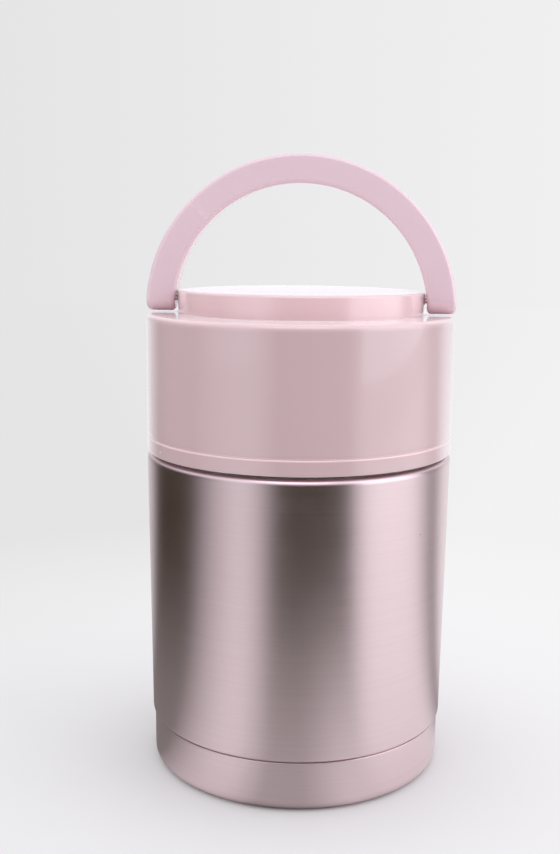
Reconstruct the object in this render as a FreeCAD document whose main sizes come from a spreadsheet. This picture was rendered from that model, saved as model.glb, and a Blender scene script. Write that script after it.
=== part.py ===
# Insulated food jar: a double-walled steel body, a stopper with a pressure vent, and a tall
# insulated lid with a folding bail handle. Sizes are in millimetres and Z points up. The
# origin is the middle of the foot, on the floor. The bail hinges about a line along X.
import FreeCAD, Part
import math
import os
from types import SimpleNamespace

import Sketcher

SIZES = {
    # double-walled steel body
    "steel": 0.8,
    "shoulder_radius": 57.5,
    "body_taper": 1.3,
    "shoulder_level": 120.3,
    "shoulder_round": 2.2,
    "curl_level": 18.8,
    "curl_round": 1.4,
    "curl_depth": 1.7,
    "skirt_end": 6.0,
    "shoulder_width": 11.5,
    "neck_height": 12.2,
    "neck_round": 1.0,
    "rim_width": 4.0,
    "vacuum_space": 2.8,
    "bottom_space": 4.0,
    "vessel_round": 12.0,
    "flare_drop": 8.5,
    "flare_rise": 6.0,
    "flare_round": 3.0,
    "plate_rim": 3.0,
    "plate_round": 1.2,
    "evacuation_radius": 1.5,
    "bead_radius": 4.0,
    "bead_height": 1.4,
    "bead_round": 1.0,
    "getter_radius": 8.0,
    "getter_height": 1.8,
    # base cup
    "cup_gap": 0.1,
    "cup_seam": 0.3,
    "cup_round": 4.0,
    "cup_edge_round": 0.3,
    "foot_ring_width": 8.4,
    "foot_recess": 1.6,
    # lugs of the quarter-turn closures
    "lug_count": 3,
    "lug_span": 40.0,
    "lug_height": 1.3,
    "lug_width": 2.4,
    "lug_bevel": 0.6,
    "lug_root": 0.4,
    "lug_play": 0.4,
    "lug_clearance": 0.5,
    "lid_lug_drop": 2.5,
    "stopper_lug_drop": 5.1,
    # lid
    "lid_gap": 1.0,
    "lid_height": 50.8,
    "lid_wall": 2.4,
    "lid_round": 1.8,
    "lid_inner_round": 1.2,
    "ring_height": 5.6,
    "ring_round": 0.6,
    "trim_gap": 0.3,
    "lip_height": 3.0,
    "lip_wall": 1.6,
    "lip_gap": 0.1,
    "liner_wall": 2.0,
    "liner_round": 3.0,
    "foam_gap": 0.3,
    "foam_top": 2.5,
    "foam_round": 1.0,
    "seal_gap": 0.3,
    "lid_seal_offset": 3.5,
    "lid_seal_width": 3.2,
    "lid_groove_depth": 1.0,
    # platform and bail
    "platform_height": 8.4,
    "platform_crown": 1.1,
    "platform_round": 1.0,
    "platform_gap": 0.5,
    "flat_gap": 1.2,
    "block_length": 7.0,
    "handle_overhang": 0.5,
    "handle_thickness": 10.8,
    "handle_depth": 10.8,
    "handle_lift": 0.5,
    "handle_round": 1.5,
    "pin_radius": 1.6,
    "pin_clearance": 0.05,
    "pin_grip": 6.0,
    "pin_bearing": 5.0,
    "pin_end_gap": 0.3,
    "pin_bevel": 0.3,
    # stopper
    "stopper_wall": 2.0,
    "stopper_depth": 18.0,
    "stopper_round": 2.0,
    "stopper_seal_height": 1.6,
    "stopper_seal_inset": 1.0,
    "flange_inset": 0.4,
    "flange_height": 2.0,
    "cap_height": 3.5,
    "cap_round": 1.0,
    "cap_collar": 4.0,
    "cap_rim": 8.6,
    "cap_dish_depth": 1.4,
    "grip_radius": 1.3,
    "grip_count": 36,
    # pressure vent
    "button_radius": 10.0,
    "button_clearance": 0.08,
    "button_rise": 0.6,
    "button_stand": 2.7,
    "button_round": 1.0,
    "button_travel": 2.5,
    "pocket_clearance": 0.6,
    "button_pocket_depth": 2.7,
    "boss_wall": 2.0,
    "boss_drop": 6.2,
    "stem_radius": 1.9,
    "stem_clearance": 1.1,
    "stem_grip": 1.6,
    "stem_tail": 0.8,
    "vent_seal_lap": 3.5,
    "vent_seal_height": 1.8,
    "washer_inset": 2.0,
    "washer_height": 1.6,
    "coil_inset": 0.9,
    "wire_radius": 0.4,
    "coil_turns": 5.0,
    "coil_end_gap": 0.1,
}

SHEET = "Sizes"


class Dim:
    """A size in millimetres, with the sheet expression that it is bound to."""

    def __init__(self, value, text):
        self.value = value
        self.text = text

    def __add__(self, other):
        other = as_dim(other)
        return Dim(self.value + other.value, f"({self.text} + {other.text})")

    def __sub__(self, other):
        other = as_dim(other)
        return Dim(self.value - other.value, f"({self.text} - {other.text})")

    def __mul__(self, other):
        other = as_dim(other)
        return Dim(self.value * other.value, f"({self.text} * {other.text})")

    def __truediv__(self, other):
        other = as_dim(other)
        return Dim(self.value / other.value, f"({self.text} / {other.text})")

    def __neg__(self):
        return Dim(-self.value, f"(0 - {self.text})")


def as_dim(number):
    """A plain number as a Dim; a Dim is returned unchanged."""
    return number if isinstance(number, Dim) else Dim(float(number), str(float(number)))


def root(area):
    """The square root of a Dim."""
    return Dim(math.sqrt(area.value), f"sqrt({area.text})")


class Arc:
    """Makes an outline's edge an arc: its radius, and whether its centre is left of the edge.

    A half circle is held by its centre's height instead of its radius.
    """

    def __init__(self, radius, left, centre_up=None):
        self.radius = radius
        self.left = left
        self.centre_up = centre_up

    def curve(self, start, end):
        """The arc's geometry from its start to its end, and whether it runs that way round."""
        chord = end - start
        middle = (start + end) * 0.5
        rise = math.sqrt(max(self.radius.value ** 2 - chord.Length ** 2 / 4, 0.0))
        side = FreeCAD.Vector(-chord.y, chord.x, 0).normalize() * (1 if self.left else -1)
        centre = middle + side * rise
        circle = Part.Circle(centre, FreeCAD.Vector(0, 0, 1), self.radius.value)
        first, last = (start, end) if self.left else (end, start)
        angles = [math.atan2(p.y - centre.y, p.x - centre.x) for p in (first, last)]
        return Part.ArcOfCircle(circle, angles[0], angles[1])


doc = FreeCAD.newDocument("food_jar")
sheet = doc.addObject("Spreadsheet::Sheet", SHEET)
for row, (size_name, size_value) in enumerate(SIZES.items(), start=1):
    sheet.set(f"A{row}", size_name)
    sheet.set(f"B{row}", str(size_value))
    sheet.setAlias(f"B{row}", size_name)
doc.recompute()
s = SimpleNamespace(**{name: Dim(value, f"{SHEET}.{name}") for name, value in SIZES.items()})

pieces = []


def new_body(name):
    """A Body for one sub-part, whose label names its file."""
    body = doc.addObject("PartDesign::Body", name)
    body.Label = name
    pieces.append(body)
    return body


def origin_feature(body, role):
    """One of the body's own origin planes or axes."""
    return next(item for item in body.Origin.OriginFeatures if item.Role == role)


def new_sketch(body, plane, name, offset=None):
    """A sketch on one of the body's origin planes, moved along its normal by an offset."""
    sketch = body.newObject("Sketcher::SketchObject", name)
    sketch.AttachmentSupport = (origin_feature(body, plane), "")
    sketch.MapMode = "FlatFace"
    if offset is not None:
        sketch.setExpression("AttachmentOffset.Base.z", offset.text)
    return sketch


def pin_point(sketch, geometry, position, across, up):
    """Hold a point of the sketch at a place given by two sizes."""
    for kind, axis, size in (("DistanceX", -2, across), ("DistanceY", -1, up)):
        if size.value == 0:
            sketch.addConstraint(Sketcher.Constraint("PointOnObject", geometry, position, axis))
            continue
        held = Sketcher.Constraint(kind, -1, 1, geometry, position, size.value)
        index = sketch.addConstraint(held)
        sketch.setExpression(f"Constraints[{index}]", size.text)


def outline(sketch, corners, arcs=None):
    """Draw a closed outline in a sketch.

    Each corner is (across, up) or (across, up, rounding), and arcs maps the number of an
    edge, counted from its first corner, to an Arc.
    """
    arcs = arcs or {}
    corners = [tuple(as_dim(value) for value in corner) for corner in corners]
    count = len(corners)
    points = [FreeCAD.Vector(corner[0].value, corner[1].value, 0) for corner in corners]
    ends = []
    for index in range(count):
        start, end = points[index], points[(index + 1) % count]
        arc = arcs.get(index)
        edge = arc.curve(start, end) if arc else Part.LineSegment(start, end)
        sketch.addGeometry(edge, False)
        ends.append((1, 2) if arc is None or arc.left else (2, 1))
    for index in range(count):
        following = (index + 1) % count
        joint = Sketcher.Constraint("Coincident", index, ends[index][1], following, ends[following][0])
        sketch.addConstraint(joint)
    for index, corner in enumerate(corners):
        pin_point(sketch, index, ends[index][0], corner[0], corner[1])
    for index, arc in arcs.items():
        if arc.centre_up is not None:
            centre = Sketcher.Constraint("DistanceY", -1, 1, index, 3, arc.centre_up.value)
            number = sketch.addConstraint(centre)
            sketch.setExpression(f"Constraints[{number}]", arc.centre_up.text)
        else:
            number = sketch.addConstraint(Sketcher.Constraint("Radius", index, arc.radius.value))
            sketch.setExpression(f"Constraints[{number}]", arc.radius.text)
    for index, corner in enumerate(corners):
        if len(corner) == 3:
            sketch.fillet(index, ends[index][0], corner[2].value, True, True, False)
            rounding = len(sketch.Geometry) - 2
            number = sketch.addConstraint(Sketcher.Constraint("Radius", rounding, corner[2].value))
            sketch.setExpression(f"Constraints[{number}]", corner[2].text)


def circle(sketch, across, up, radius):
    """Draw a circle in a sketch."""
    centre = FreeCAD.Vector(as_dim(across).value, as_dim(up).value, 0)
    index = sketch.addGeometry(Part.Circle(centre, FreeCAD.Vector(0, 0, 1), radius.value), False)
    pin_point(sketch, index, 3, as_dim(across), as_dim(up))
    number = sketch.addConstraint(Sketcher.Constraint("Radius", index, radius.value))
    sketch.setExpression(f"Constraints[{number}]", radius.text)


def turned(name, corners, arcs=None):
    """A sub-part turned about Z from its half section in the XZ plane."""
    body = new_body(name)
    sketch = new_sketch(body, "XZ_Plane", name + "_section")
    outline(sketch, corners, arcs)
    turn = body.newObject("PartDesign::Revolution", name + "_turn")
    turn.Profile = sketch
    turn.ReferenceAxis = (sketch, ["V_Axis"])
    turn.Angle = 360
    return body


def add_lugs(body, wall, crest, low, side):
    """Add a ring of bevelled lugs to a turned wall, the first one centred on side times X."""
    sketch = new_sketch(body, "XZ_Plane", body.Name + "_lug_section")
    high = low + s.lug_width
    corners = [
        (wall, low),
        (crest, low + s.lug_bevel),
        (crest, high - s.lug_bevel),
        (wall, high),
    ]
    outline(sketch, [(across * side, up) for across, up in corners])
    lug = body.newObject("PartDesign::Revolution", body.Name + "_lug")
    lug.Profile = sketch
    lug.ReferenceAxis = (sketch, ["V_Axis"])
    lug.Midplane = True
    lug.setExpression("Angle", s.lug_span.text)
    ring = body.newObject("PartDesign::PolarPattern", body.Name + "_lugs")
    ring.Originals = [lug]
    ring.Axis = (origin_feature(body, "Z_Axis"), [""])
    ring.Angle = 360
    ring.setExpression("Occurrences", s.lug_count.text)
    body.Tip = ring


def cut_volume(body, make_cut):
    """Run a function that cuts the body, and check that the cut took something away."""
    doc.recompute()
    before = body.Shape.Volume
    feature = make_cut()
    doc.recompute()
    if not body.Shape.Volume < before:
        raise RuntimeError(f"{feature.Label} cuts nothing")
    return feature


def pocket(body, sketch, depth, reverse=False):
    """Cut a sketch's outline into the body."""
    def make_cut():
        cut = body.newObject("PartDesign::Pocket", sketch.Name + "_cut")
        cut.Profile = sketch
        cut.Reversed = reverse
        cut.setExpression("Length", depth.text)
        return cut
    return cut_volume(body, make_cut)


def mirror_x(body, feature):
    """Repeat a feature on the other side of the YZ plane."""
    mirror = body.newObject("PartDesign::Mirrored", feature.Name + "_mirror")
    mirror.Originals = [feature]
    mirror.MirrorPlane = (origin_feature(body, "YZ_Plane"), [""])
    body.Tip = mirror
    return mirror


def fillet(body, radius, chosen):
    """Round the edges for which chosen(edge) is true."""
    doc.recompute()
    base = body.Tip
    names = [f"Edge{n}" for n, edge in enumerate(base.Shape.Edges, start=1) if chosen(edge)]
    feature = body.newObject("PartDesign::Fillet", body.Name + "_rounding")
    feature.Base = (base, names)
    feature.setExpression("Radius", radius.text)
    doc.recompute()


# Levels and radii that several sub-parts share.
foot_radius = s.shoulder_radius - s.body_taper
skirt_radius = foot_radius - s.curl_depth
neck_radius = s.shoulder_radius - s.shoulder_width
mouth_radius = neck_radius - s.rim_width
plate_level = s.skirt_end + s.plate_rim
vessel_radius = foot_radius - s.steel - s.vacuum_space
vessel_base = plate_level + s.bottom_space
flare_low = s.shoulder_level - s.flare_drop
lid_radius = s.shoulder_radius
rim_level = s.shoulder_level + s.neck_height
neck_inner = neck_radius - s.steel
lid_bottom = s.shoulder_level + s.lid_gap
ring_top = lid_bottom + s.ring_height
cover_bottom = ring_top + s.trim_gap
ledge_level = lid_bottom + s.lid_height
cover_inner = lid_radius - s.lid_wall
cover_ceiling = ledge_level - s.lid_wall
lid_seal_inner = neck_radius + s.lid_seal_offset
lid_seal_outer = lid_seal_inner + s.lid_seal_width
liner_bore = neck_radius + s.lug_height + s.lug_clearance
liner_outer = liner_bore + s.liner_wall
liner_top = cover_ceiling - s.foam_gap * 2 - s.foam_top
lip_outer = cover_inner - s.lip_gap
lip_top = ring_top + s.lip_height
handle_outer = lid_radius + s.handle_overhang
handle_inner = handle_outer - s.handle_thickness
flat_half_span = handle_inner - s.flat_gap
arch_level = ledge_level + s.handle_lift
pivot_level = arch_level + s.handle_depth / 2
platform_rim = ledge_level + s.platform_height
platform_radius = handle_inner - s.platform_gap
pin_inner_end = flat_half_span - s.pin_bearing + s.pin_end_gap
pin_outer_end = handle_inner + s.pin_grip
neck_lug_low = rim_level - s.lid_lug_drop - s.lug_width
liner_lug_low = neck_lug_low - s.lug_play - s.lug_width
mouth_lug_low = rim_level - s.stopper_lug_drop - s.lug_width
plug_lug_low = mouth_lug_low - s.lug_play - s.lug_width
plug_radius = mouth_radius - s.lug_height - s.lug_clearance
plug_bottom = rim_level - s.stopper_depth
plug_inner = plug_radius - s.stopper_wall
stopper_seal_low = rim_level + s.seal_gap
stopper_seal_top = stopper_seal_low + s.stopper_seal_height
flange_level = stopper_seal_top + s.seal_gap
flange_top = flange_level + s.flange_height
flange_radius = neck_radius - s.flange_inset
cap_top = flange_top + s.cap_height
cap_dish_outer = flange_radius - s.cap_rim
cap_dish_inner = s.button_radius + s.cap_collar
boss_bore = s.stem_radius + s.stem_clearance
boss_radius = boss_bore + s.boss_wall
boss_level = flange_top - s.boss_drop
coil_radius = boss_radius - s.coil_inset
button_low = flange_top + s.button_rise
button_top = cap_top + s.button_stand
button_ceiling = button_low + s.button_pocket_depth
button_pocket_radius = boss_radius + s.pocket_clearance
stem_top = button_ceiling + s.stem_grip
vent_seal_top = plug_bottom - s.seal_gap
vent_seal_low = vent_seal_top - s.vent_seal_height
washer_low = vent_seal_low - s.washer_height
vent_seal_radius = boss_bore + s.vent_seal_lap
washer_radius = vent_seal_radius - s.washer_inset


def outer_shell():
    """Tapered wall with a rounded shoulder, a neck with lugs, and a skirt for the base cup."""
    body = turned("outer_shell", [
        (skirt_radius, s.skirt_end),
        (skirt_radius, s.curl_level),
        (foot_radius, s.curl_level, s.curl_round),
        (s.shoulder_radius, s.shoulder_level, s.shoulder_round),
        (neck_radius, s.shoulder_level, s.neck_round),
        (neck_radius, rim_level - s.steel),
        (neck_inner, rim_level - s.steel),
        (neck_inner, s.shoulder_level - s.steel),
        (s.shoulder_radius - s.steel, s.shoulder_level - s.steel, s.shoulder_round - s.steel),
        (foot_radius - s.steel, s.curl_level + s.steel, s.curl_round - s.steel),
        (skirt_radius - s.steel, s.curl_level + s.steel),
        (skirt_radius - s.steel, s.skirt_end),
    ])
    add_lugs(body, neck_radius - s.lug_root, neck_radius + s.lug_height, neck_lug_low, 1)


def inner_vessel():
    """Inner wall that holds the food, folded over the neck at its rim."""
    run = vessel_radius - s.steel - mouth_radius
    lean = s.steel * (root(run * run + s.flare_rise * s.flare_rise) - s.flare_rise) / run
    flare_high = flare_low + s.flare_rise
    body = turned("inner_vessel", [
        (0, vessel_base + s.steel),
        (vessel_radius - s.steel, vessel_base + s.steel, s.vessel_round - s.steel),
        (vessel_radius - s.steel, flare_low, s.flare_round),
        (mouth_radius, flare_high, s.flare_round + s.steel),
        (mouth_radius, rim_level),
        (neck_radius, rim_level),
        (neck_radius, rim_level - s.steel),
        (mouth_radius + s.steel, rim_level - s.steel),
        (mouth_radius + s.steel, flare_high + lean, s.flare_round),
        (vessel_radius, flare_low + lean, s.flare_round + s.steel),
        (vessel_radius, vessel_base, s.vessel_round),
        (0, vessel_base),
    ])
    add_lugs(body, mouth_radius + s.lug_root, mouth_radius - s.lug_height, mouth_lug_low, 1)


def body_bottom():
    """The plate that closes the vacuum, the bead on its hole, the getter and the base cup."""
    rim = skirt_radius - s.steel
    under = plate_level - s.steel
    turned("outer_bottom", [
        (s.evacuation_radius, under),
        (rim - s.steel, under),
        (rim - s.steel, s.skirt_end),
        (rim, s.skirt_end),
        (rim, plate_level, s.plate_round),
        (s.evacuation_radius, plate_level),
    ])
    turned("vacuum_seal", [
        (0, under - s.bead_height),
        (s.bead_radius - s.bead_round, under - s.bead_height, s.bead_round),
        (s.bead_radius, under),
        (0, under),
    ])
    turned("getter", [
        (0, vessel_base - s.getter_height),
        (s.getter_radius, vessel_base - s.getter_height),
        (s.getter_radius, vessel_base),
        (0, vessel_base),
    ])
    inner = skirt_radius + s.cup_gap
    outer = inner + s.steel
    top = s.curl_level - s.cup_seam
    foot_ring_inner = outer - s.foot_ring_width
    turned("base_cup", [
        (0, s.foot_recess),
        (foot_ring_inner - s.foot_recess, s.foot_recess),
        (foot_ring_inner, 0),
        (outer, 0, s.cup_round),
        (outer, top, s.cup_edge_round),
        (inner, top),
        (inner, s.steel, s.cup_round - s.steel),
        (foot_ring_inner + s.steel / 2, s.steel),
        (foot_ring_inner - s.foot_recess + s.steel / 2, s.foot_recess + s.steel),
        (0, s.foot_recess + s.steel),
    ])


def platform_outline(sketch, radius, half_span):
    """Two arcs that a folded arch clears, joined by a flat at each end."""
    shift = s.handle_depth / 2
    half_width = root(radius * radius - half_span * half_span) - shift
    outline(sketch, [
        (-half_span, -half_width),
        (half_span, -half_width),
        (half_span, half_width),
        (-half_span, half_width),
    ], {0: Arc(radius, True), 2: Arc(radius, True)})


def lid_cover():
    """Outer lid with a ledge and a crowned platform, hollow but for the two pin blocks."""
    body = turned("lid_cover", [
        (lid_radius, cover_bottom),
        (lid_radius, ledge_level, s.lid_round),
        (0, ledge_level),
        (0, cover_ceiling),
        (cover_inner, cover_ceiling, s.lid_inner_round),
        (cover_inner, cover_bottom),
    ])
    top = new_sketch(body, "XY_Plane", "platform_outline", cover_ceiling)
    platform_outline(top, platform_radius, flat_half_span)
    pad = body.newObject("PartDesign::Pad", "platform")
    pad.Profile = top
    pad.setExpression("Length", (platform_rim + s.platform_crown * 2 - cover_ceiling).text)

    crown_end = flat_half_span + s.platform_round
    crown_radius = (crown_end * crown_end + s.platform_crown * s.platform_crown) / (s.platform_crown * 2)
    above = platform_rim + s.platform_crown * 3

    def cut_crown():
        sketch = new_sketch(body, "XZ_Plane", "crown_section")
        outline(sketch, [
            (crown_end, platform_rim),
            (0, platform_rim + s.platform_crown),
            (0, above),
            (crown_end, above),
        ], {0: Arc(crown_radius, True)})
        groove = body.newObject("PartDesign::Groove", "platform_crown")
        groove.Profile = sketch
        groove.ReferenceAxis = (sketch, ["V_Axis"])
        groove.Angle = 360
        return groove
    cut_volume(body, cut_crown)

    hollow = new_sketch(body, "XY_Plane", "platform_hollow", cover_ceiling)
    platform_outline(hollow, platform_radius - s.lid_wall, flat_half_span - s.block_length)
    pocket(body, hollow, s.platform_height, True)

    hole = new_sketch(body, "YZ_Plane", "pin_hole", flat_half_span)
    circle(hole, 0, pivot_level, s.pin_radius + s.pin_clearance)
    drilled = pocket(body, hole, s.pin_bearing)
    mirror_x(body, drilled)
    fillet(body, s.platform_round, lambda edge: edge.BoundBox.ZMin > platform_rim.value - 0.2)


def lid_liner():
    """Inner cup of the lid, with lugs in its bore and the visible ring at its foot."""
    groove_top = lid_bottom + s.lid_groove_depth
    groove_inner = lid_seal_inner - s.seal_gap
    groove_outer = lid_seal_outer + s.seal_gap
    floor = lid_bottom + s.liner_wall
    body = turned("lid_liner", [
        (liner_bore, lid_bottom),
        (groove_inner, lid_bottom),
        (groove_inner, groove_top),
        (groove_outer, groove_top),
        (groove_outer, lid_bottom),
        (lid_radius, lid_bottom, s.ring_round),
        (lid_radius, ring_top, s.trim_gap),
        (lip_outer, ring_top),
        (lip_outer, lip_top),
        (lip_outer - s.lip_wall, lip_top),
        (lip_outer - s.lip_wall, floor),
        (liner_outer, floor),
        (liner_outer, liner_top, s.liner_round),
        (0, liner_top),
        (0, liner_top - s.liner_wall),
        (liner_bore, liner_top - s.liner_wall, s.liner_round),
    ])
    add_lugs(body, liner_bore + s.lug_root, liner_bore - s.lug_height, liner_lug_low, -1)


def lid_insides():
    """Foam between cover and liner, and the gasket that rests on the shoulder."""
    turned("lid_foam", [
        (liner_outer + s.foam_gap, lip_top + s.foam_gap),
        (cover_inner - s.foam_gap, lip_top + s.foam_gap),
        (cover_inner - s.foam_gap, cover_ceiling - s.foam_gap, s.foam_round),
        (0, cover_ceiling - s.foam_gap),
        (0, liner_top + s.foam_gap),
        (liner_outer + s.foam_gap, liner_top + s.foam_gap),
    ])
    turned("lid_gasket", [
        (lid_seal_inner, s.shoulder_level + s.seal_gap),
        (lid_seal_outer, s.shoulder_level + s.seal_gap),
        (lid_seal_outer, lid_bottom + s.lid_groove_depth - s.seal_gap),
        (lid_seal_inner, lid_bottom + s.lid_groove_depth - s.seal_gap),
    ])


def handle():
    """Half-circle bail of rectangular section, whose ends are round about the hinge line."""
    body = new_body("handle")
    face = new_sketch(body, "XZ_Plane", "arch_outline")
    outline(face, [
        (handle_inner, arch_level),
        (handle_outer, arch_level),
        (-handle_outer, arch_level),
        (-handle_inner, arch_level),
    ], {1: Arc(handle_outer, True, arch_level), 3: Arc(handle_inner, False, arch_level)})
    pad = body.newObject("PartDesign::Pad", "arch")
    pad.Profile = face
    pad.Midplane = True
    pad.setExpression("Length", s.handle_depth.text)

    half = s.handle_depth / 2
    below = arch_level - half
    ends = new_sketch(body, "YZ_Plane", "arch_ends", -handle_outer * 2)
    outline(ends, [
        (-s.handle_depth, pivot_level),
        (-s.handle_depth, below),
        (s.handle_depth, below),
        (s.handle_depth, pivot_level),
        (half, pivot_level),
        (-half, pivot_level),
    ], {4: Arc(half, False, pivot_level)})
    pocket(body, ends, handle_outer * 4, True)
    fillet(body, s.handle_round, lambda edge: edge.BoundBox.YMax - edge.BoundBox.YMin > half.value
           or edge.BoundBox.XMax - edge.BoundBox.XMin > handle_inner.value)
    hole = new_sketch(body, "YZ_Plane", "pin_socket", flat_half_span)
    circle(hole, 0, pivot_level, s.pin_radius)
    drilled = pocket(body, hole, pin_outer_end - flat_half_span, True)
    mirror_x(body, drilled)


def pivot_pin(name, side):
    """One steel pin, pressed into a leg of the bail and turning in the lid's pin block."""
    body = new_body(name)
    length = pin_outer_end - pin_inner_end
    start = pin_inner_end if side > 0 else -pin_outer_end
    sketch = new_sketch(body, "YZ_Plane", name + "_section", start)
    circle(sketch, 0, pivot_level, s.pin_radius)
    pad = body.newObject("PartDesign::Pad", name + "_shaft")
    pad.Profile = sketch
    pad.setExpression("Length", length.text)
    doc.recompute()
    bevel = body.newObject("PartDesign::Chamfer", name + "_bevel")
    rims = [f"Edge{n}" for n, edge in enumerate(pad.Shape.Edges, start=1)
            if edge.BoundBox.XMax - edge.BoundBox.XMin < s.pin_bevel.value]
    bevel.Base = (pad, rims)
    bevel.setExpression("Size", s.pin_bevel.text)


def stopper():
    """Plug with lugs and a flange, the cap on it, the foam in it and the gasket under it."""
    plug = turned("stopper_plug", [
        (boss_bore, plug_bottom),
        (plug_radius, plug_bottom, s.stopper_round),
        (plug_radius, flange_level),
        (flange_radius, flange_level),
        (flange_radius, flange_top),
        (plug_inner, flange_top),
        (plug_inner, plug_bottom + s.stopper_wall),
        (boss_radius, plug_bottom + s.stopper_wall),
        (boss_radius, boss_level),
        (boss_bore, boss_level),
    ])
    add_lugs(plug, plug_radius - s.lug_root, plug_radius + s.lug_height, plug_lug_low, -1)
    hole = s.button_radius + s.button_clearance
    cap = turned("stopper_cap", [
        (hole, flange_top),
        (flange_radius, flange_top),
        (flange_radius, cap_top, s.cap_round),
        (cap_dish_outer, cap_top),
        (cap_dish_outer - s.cap_dish_depth, cap_top - s.cap_dish_depth),
        (cap_dish_inner + s.cap_dish_depth, cap_top - s.cap_dish_depth),
        (cap_dish_inner, cap_top),
        (hole, cap_top),
    ])
    notch = new_sketch(cap, "XY_Plane", "grip_notch", flange_top)
    circle(notch, flange_radius + s.grip_radius / 2, 0, s.grip_radius)
    cut = pocket(cap, notch, s.cap_height * 2, True)
    ring = cap.newObject("PartDesign::PolarPattern", "grip_notches")
    ring.Originals = [cut]
    ring.Axis = (origin_feature(cap, "Z_Axis"), [""])
    ring.Angle = 360
    ring.setExpression("Occurrences", s.grip_count.text)
    cap.Tip = ring

    foam_low = plug_bottom + s.stopper_wall + s.foam_gap
    well = button_low - s.button_travel - s.foam_gap
    well_radius = s.button_radius + s.foam_gap * 2
    turned("stopper_foam", [
        (boss_radius + s.foam_gap, foam_low),
        (plug_inner - s.foam_gap, foam_low),
        (plug_inner - s.foam_gap, flange_top - s.foam_gap),
        (well_radius, flange_top - s.foam_gap),
        (well_radius, well),
        (boss_radius + s.foam_gap, well),
    ])
    turned("stopper_gasket", [
        (plug_radius + s.seal_gap, stopper_seal_low),
        (neck_radius - s.stopper_seal_inset, stopper_seal_low),
        (neck_radius - s.stopper_seal_inset, stopper_seal_top),
        (plug_radius + s.seal_gap, stopper_seal_top),
    ])


def vent():
    """Spring-loaded button on a stem that pushes a seal down off the plug's bottom."""
    turned("vent_button", [
        (button_pocket_radius, button_low),
        (s.button_radius, button_low),
        (s.button_radius, button_top, s.button_round),
        (0, button_top),
        (0, stem_top),
        (s.stem_radius, stem_top),
        (s.stem_radius, button_ceiling),
        (button_pocket_radius, button_ceiling),
    ])
    turned("vent_stem", [
        (0, washer_low - s.stem_tail),
        (s.stem_radius, washer_low - s.stem_tail),
        (s.stem_radius, stem_top),
        (0, stem_top),
    ])
    turned("vent_seal", [
        (s.stem_radius, vent_seal_low),
        (vent_seal_radius, vent_seal_low),
        (vent_seal_radius, vent_seal_top),
        (s.stem_radius, vent_seal_top),
    ])
    turned("vent_washer", [
        (s.stem_radius, washer_low),
        (washer_radius, washer_low),
        (washer_radius, vent_seal_low),
        (s.stem_radius, vent_seal_low),
    ])
    spring = new_body("vent_spring")
    section = new_sketch(spring, "XZ_Plane", "wire_section")
    start = boss_level + s.coil_end_gap + s.wire_radius
    end = button_ceiling - s.coil_end_gap - s.wire_radius
    circle(section, coil_radius, start, s.wire_radius)
    coil = spring.newObject("PartDesign::AdditiveHelix", "coil")
    coil.Profile = section
    coil.ReferenceAxis = (section, ["V_Axis"])
    coil.Mode = "height-turns-angle"
    coil.setExpression("Height", (end - start).text)
    coil.setExpression("Turns", s.coil_turns.text)


outer_shell()
inner_vessel()
body_bottom()
lid_cover()
lid_liner()
lid_insides()
handle()
pivot_pin("pivot_pin_right", 1)
pivot_pin("pivot_pin_left", -1)
stopper()
vent()
doc.recompute()

for item in doc.Objects:
    if "Invalid" in item.State or "Error" in item.State:
        raise RuntimeError(f"{item.Label} failed to recompute: {item.State}")
for piece in pieces:
    if piece.Shape.isNull() or not piece.Shape.isValid() or piece.Shape.Volume <= 0:
        raise RuntimeError(f"{piece.Label} has no valid solid")

os.makedirs("parts", exist_ok=True)
for piece in pieces:
    piece.Shape.exportStep(f"parts/{piece.Label}.step")
    box = piece.Shape.BoundBox
    print(f"{piece.Label}: {len(piece.Shape.Solids)} solid, {piece.Shape.Volume:.0f} mm3,"
          f" z {box.ZMin:.2f} to {box.ZMax:.2f}, x to {box.XMax:.2f}")
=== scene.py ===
"""Looks of an insulated food jar: rose steel body, glossy pink lid with a folding bail, vented stopper.

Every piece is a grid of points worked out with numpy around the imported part. Sizes are in
millimetres until a mesh is made, and the frame is the part's own: Z up, hinge along X, front at -Y.
"""
import logging
import math
from dataclasses import dataclass
from enum import Enum
from typing import Callable, Optional, Sequence

import bpy
import numpy as np
from mathutils import Matrix, Vector


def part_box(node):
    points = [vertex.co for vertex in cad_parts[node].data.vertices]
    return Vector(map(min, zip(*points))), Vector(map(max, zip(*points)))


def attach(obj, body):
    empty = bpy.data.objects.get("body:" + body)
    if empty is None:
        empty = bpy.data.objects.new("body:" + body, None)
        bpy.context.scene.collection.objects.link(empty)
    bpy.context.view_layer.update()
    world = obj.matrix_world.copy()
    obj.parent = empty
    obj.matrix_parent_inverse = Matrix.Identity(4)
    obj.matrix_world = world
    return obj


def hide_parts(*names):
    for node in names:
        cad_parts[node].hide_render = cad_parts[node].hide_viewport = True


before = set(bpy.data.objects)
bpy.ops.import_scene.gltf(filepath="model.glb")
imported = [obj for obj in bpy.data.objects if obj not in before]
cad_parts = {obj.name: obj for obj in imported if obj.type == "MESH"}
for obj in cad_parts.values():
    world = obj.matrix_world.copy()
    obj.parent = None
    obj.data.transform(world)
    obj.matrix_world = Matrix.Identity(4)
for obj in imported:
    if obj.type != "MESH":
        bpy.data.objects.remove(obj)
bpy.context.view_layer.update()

MM = 0.001
TURN_COLUMNS = 256
ARC_STEPS = 7
EDGE_ROUND = 0.15
SUPPORT_RUN = 0.25
WELD_PER_MM = 1e4
NOTCH_DEGREES = (0.2, 0.6, 1.0, 1.3, 1.5, 1.7, 2.1, 3.0, 4.2)
LEDGE_SHARES = (0.5, 0.96)
WALL_HEIGHTS = (0.3, 3.0)
CROWN_SHARES = (0.99, 0.96, 0.85, 0.7, 0.5, 0.3, 0.12, 0.0)
RIG_TURN = 4.5
# Levels of the lid's painted highlights: a paler band from the ledge up to under the crown, and a thin
# paler trim line.
LEDGE_HIGHLIGHT_FROM = (0.1695, 0.1722)
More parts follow.
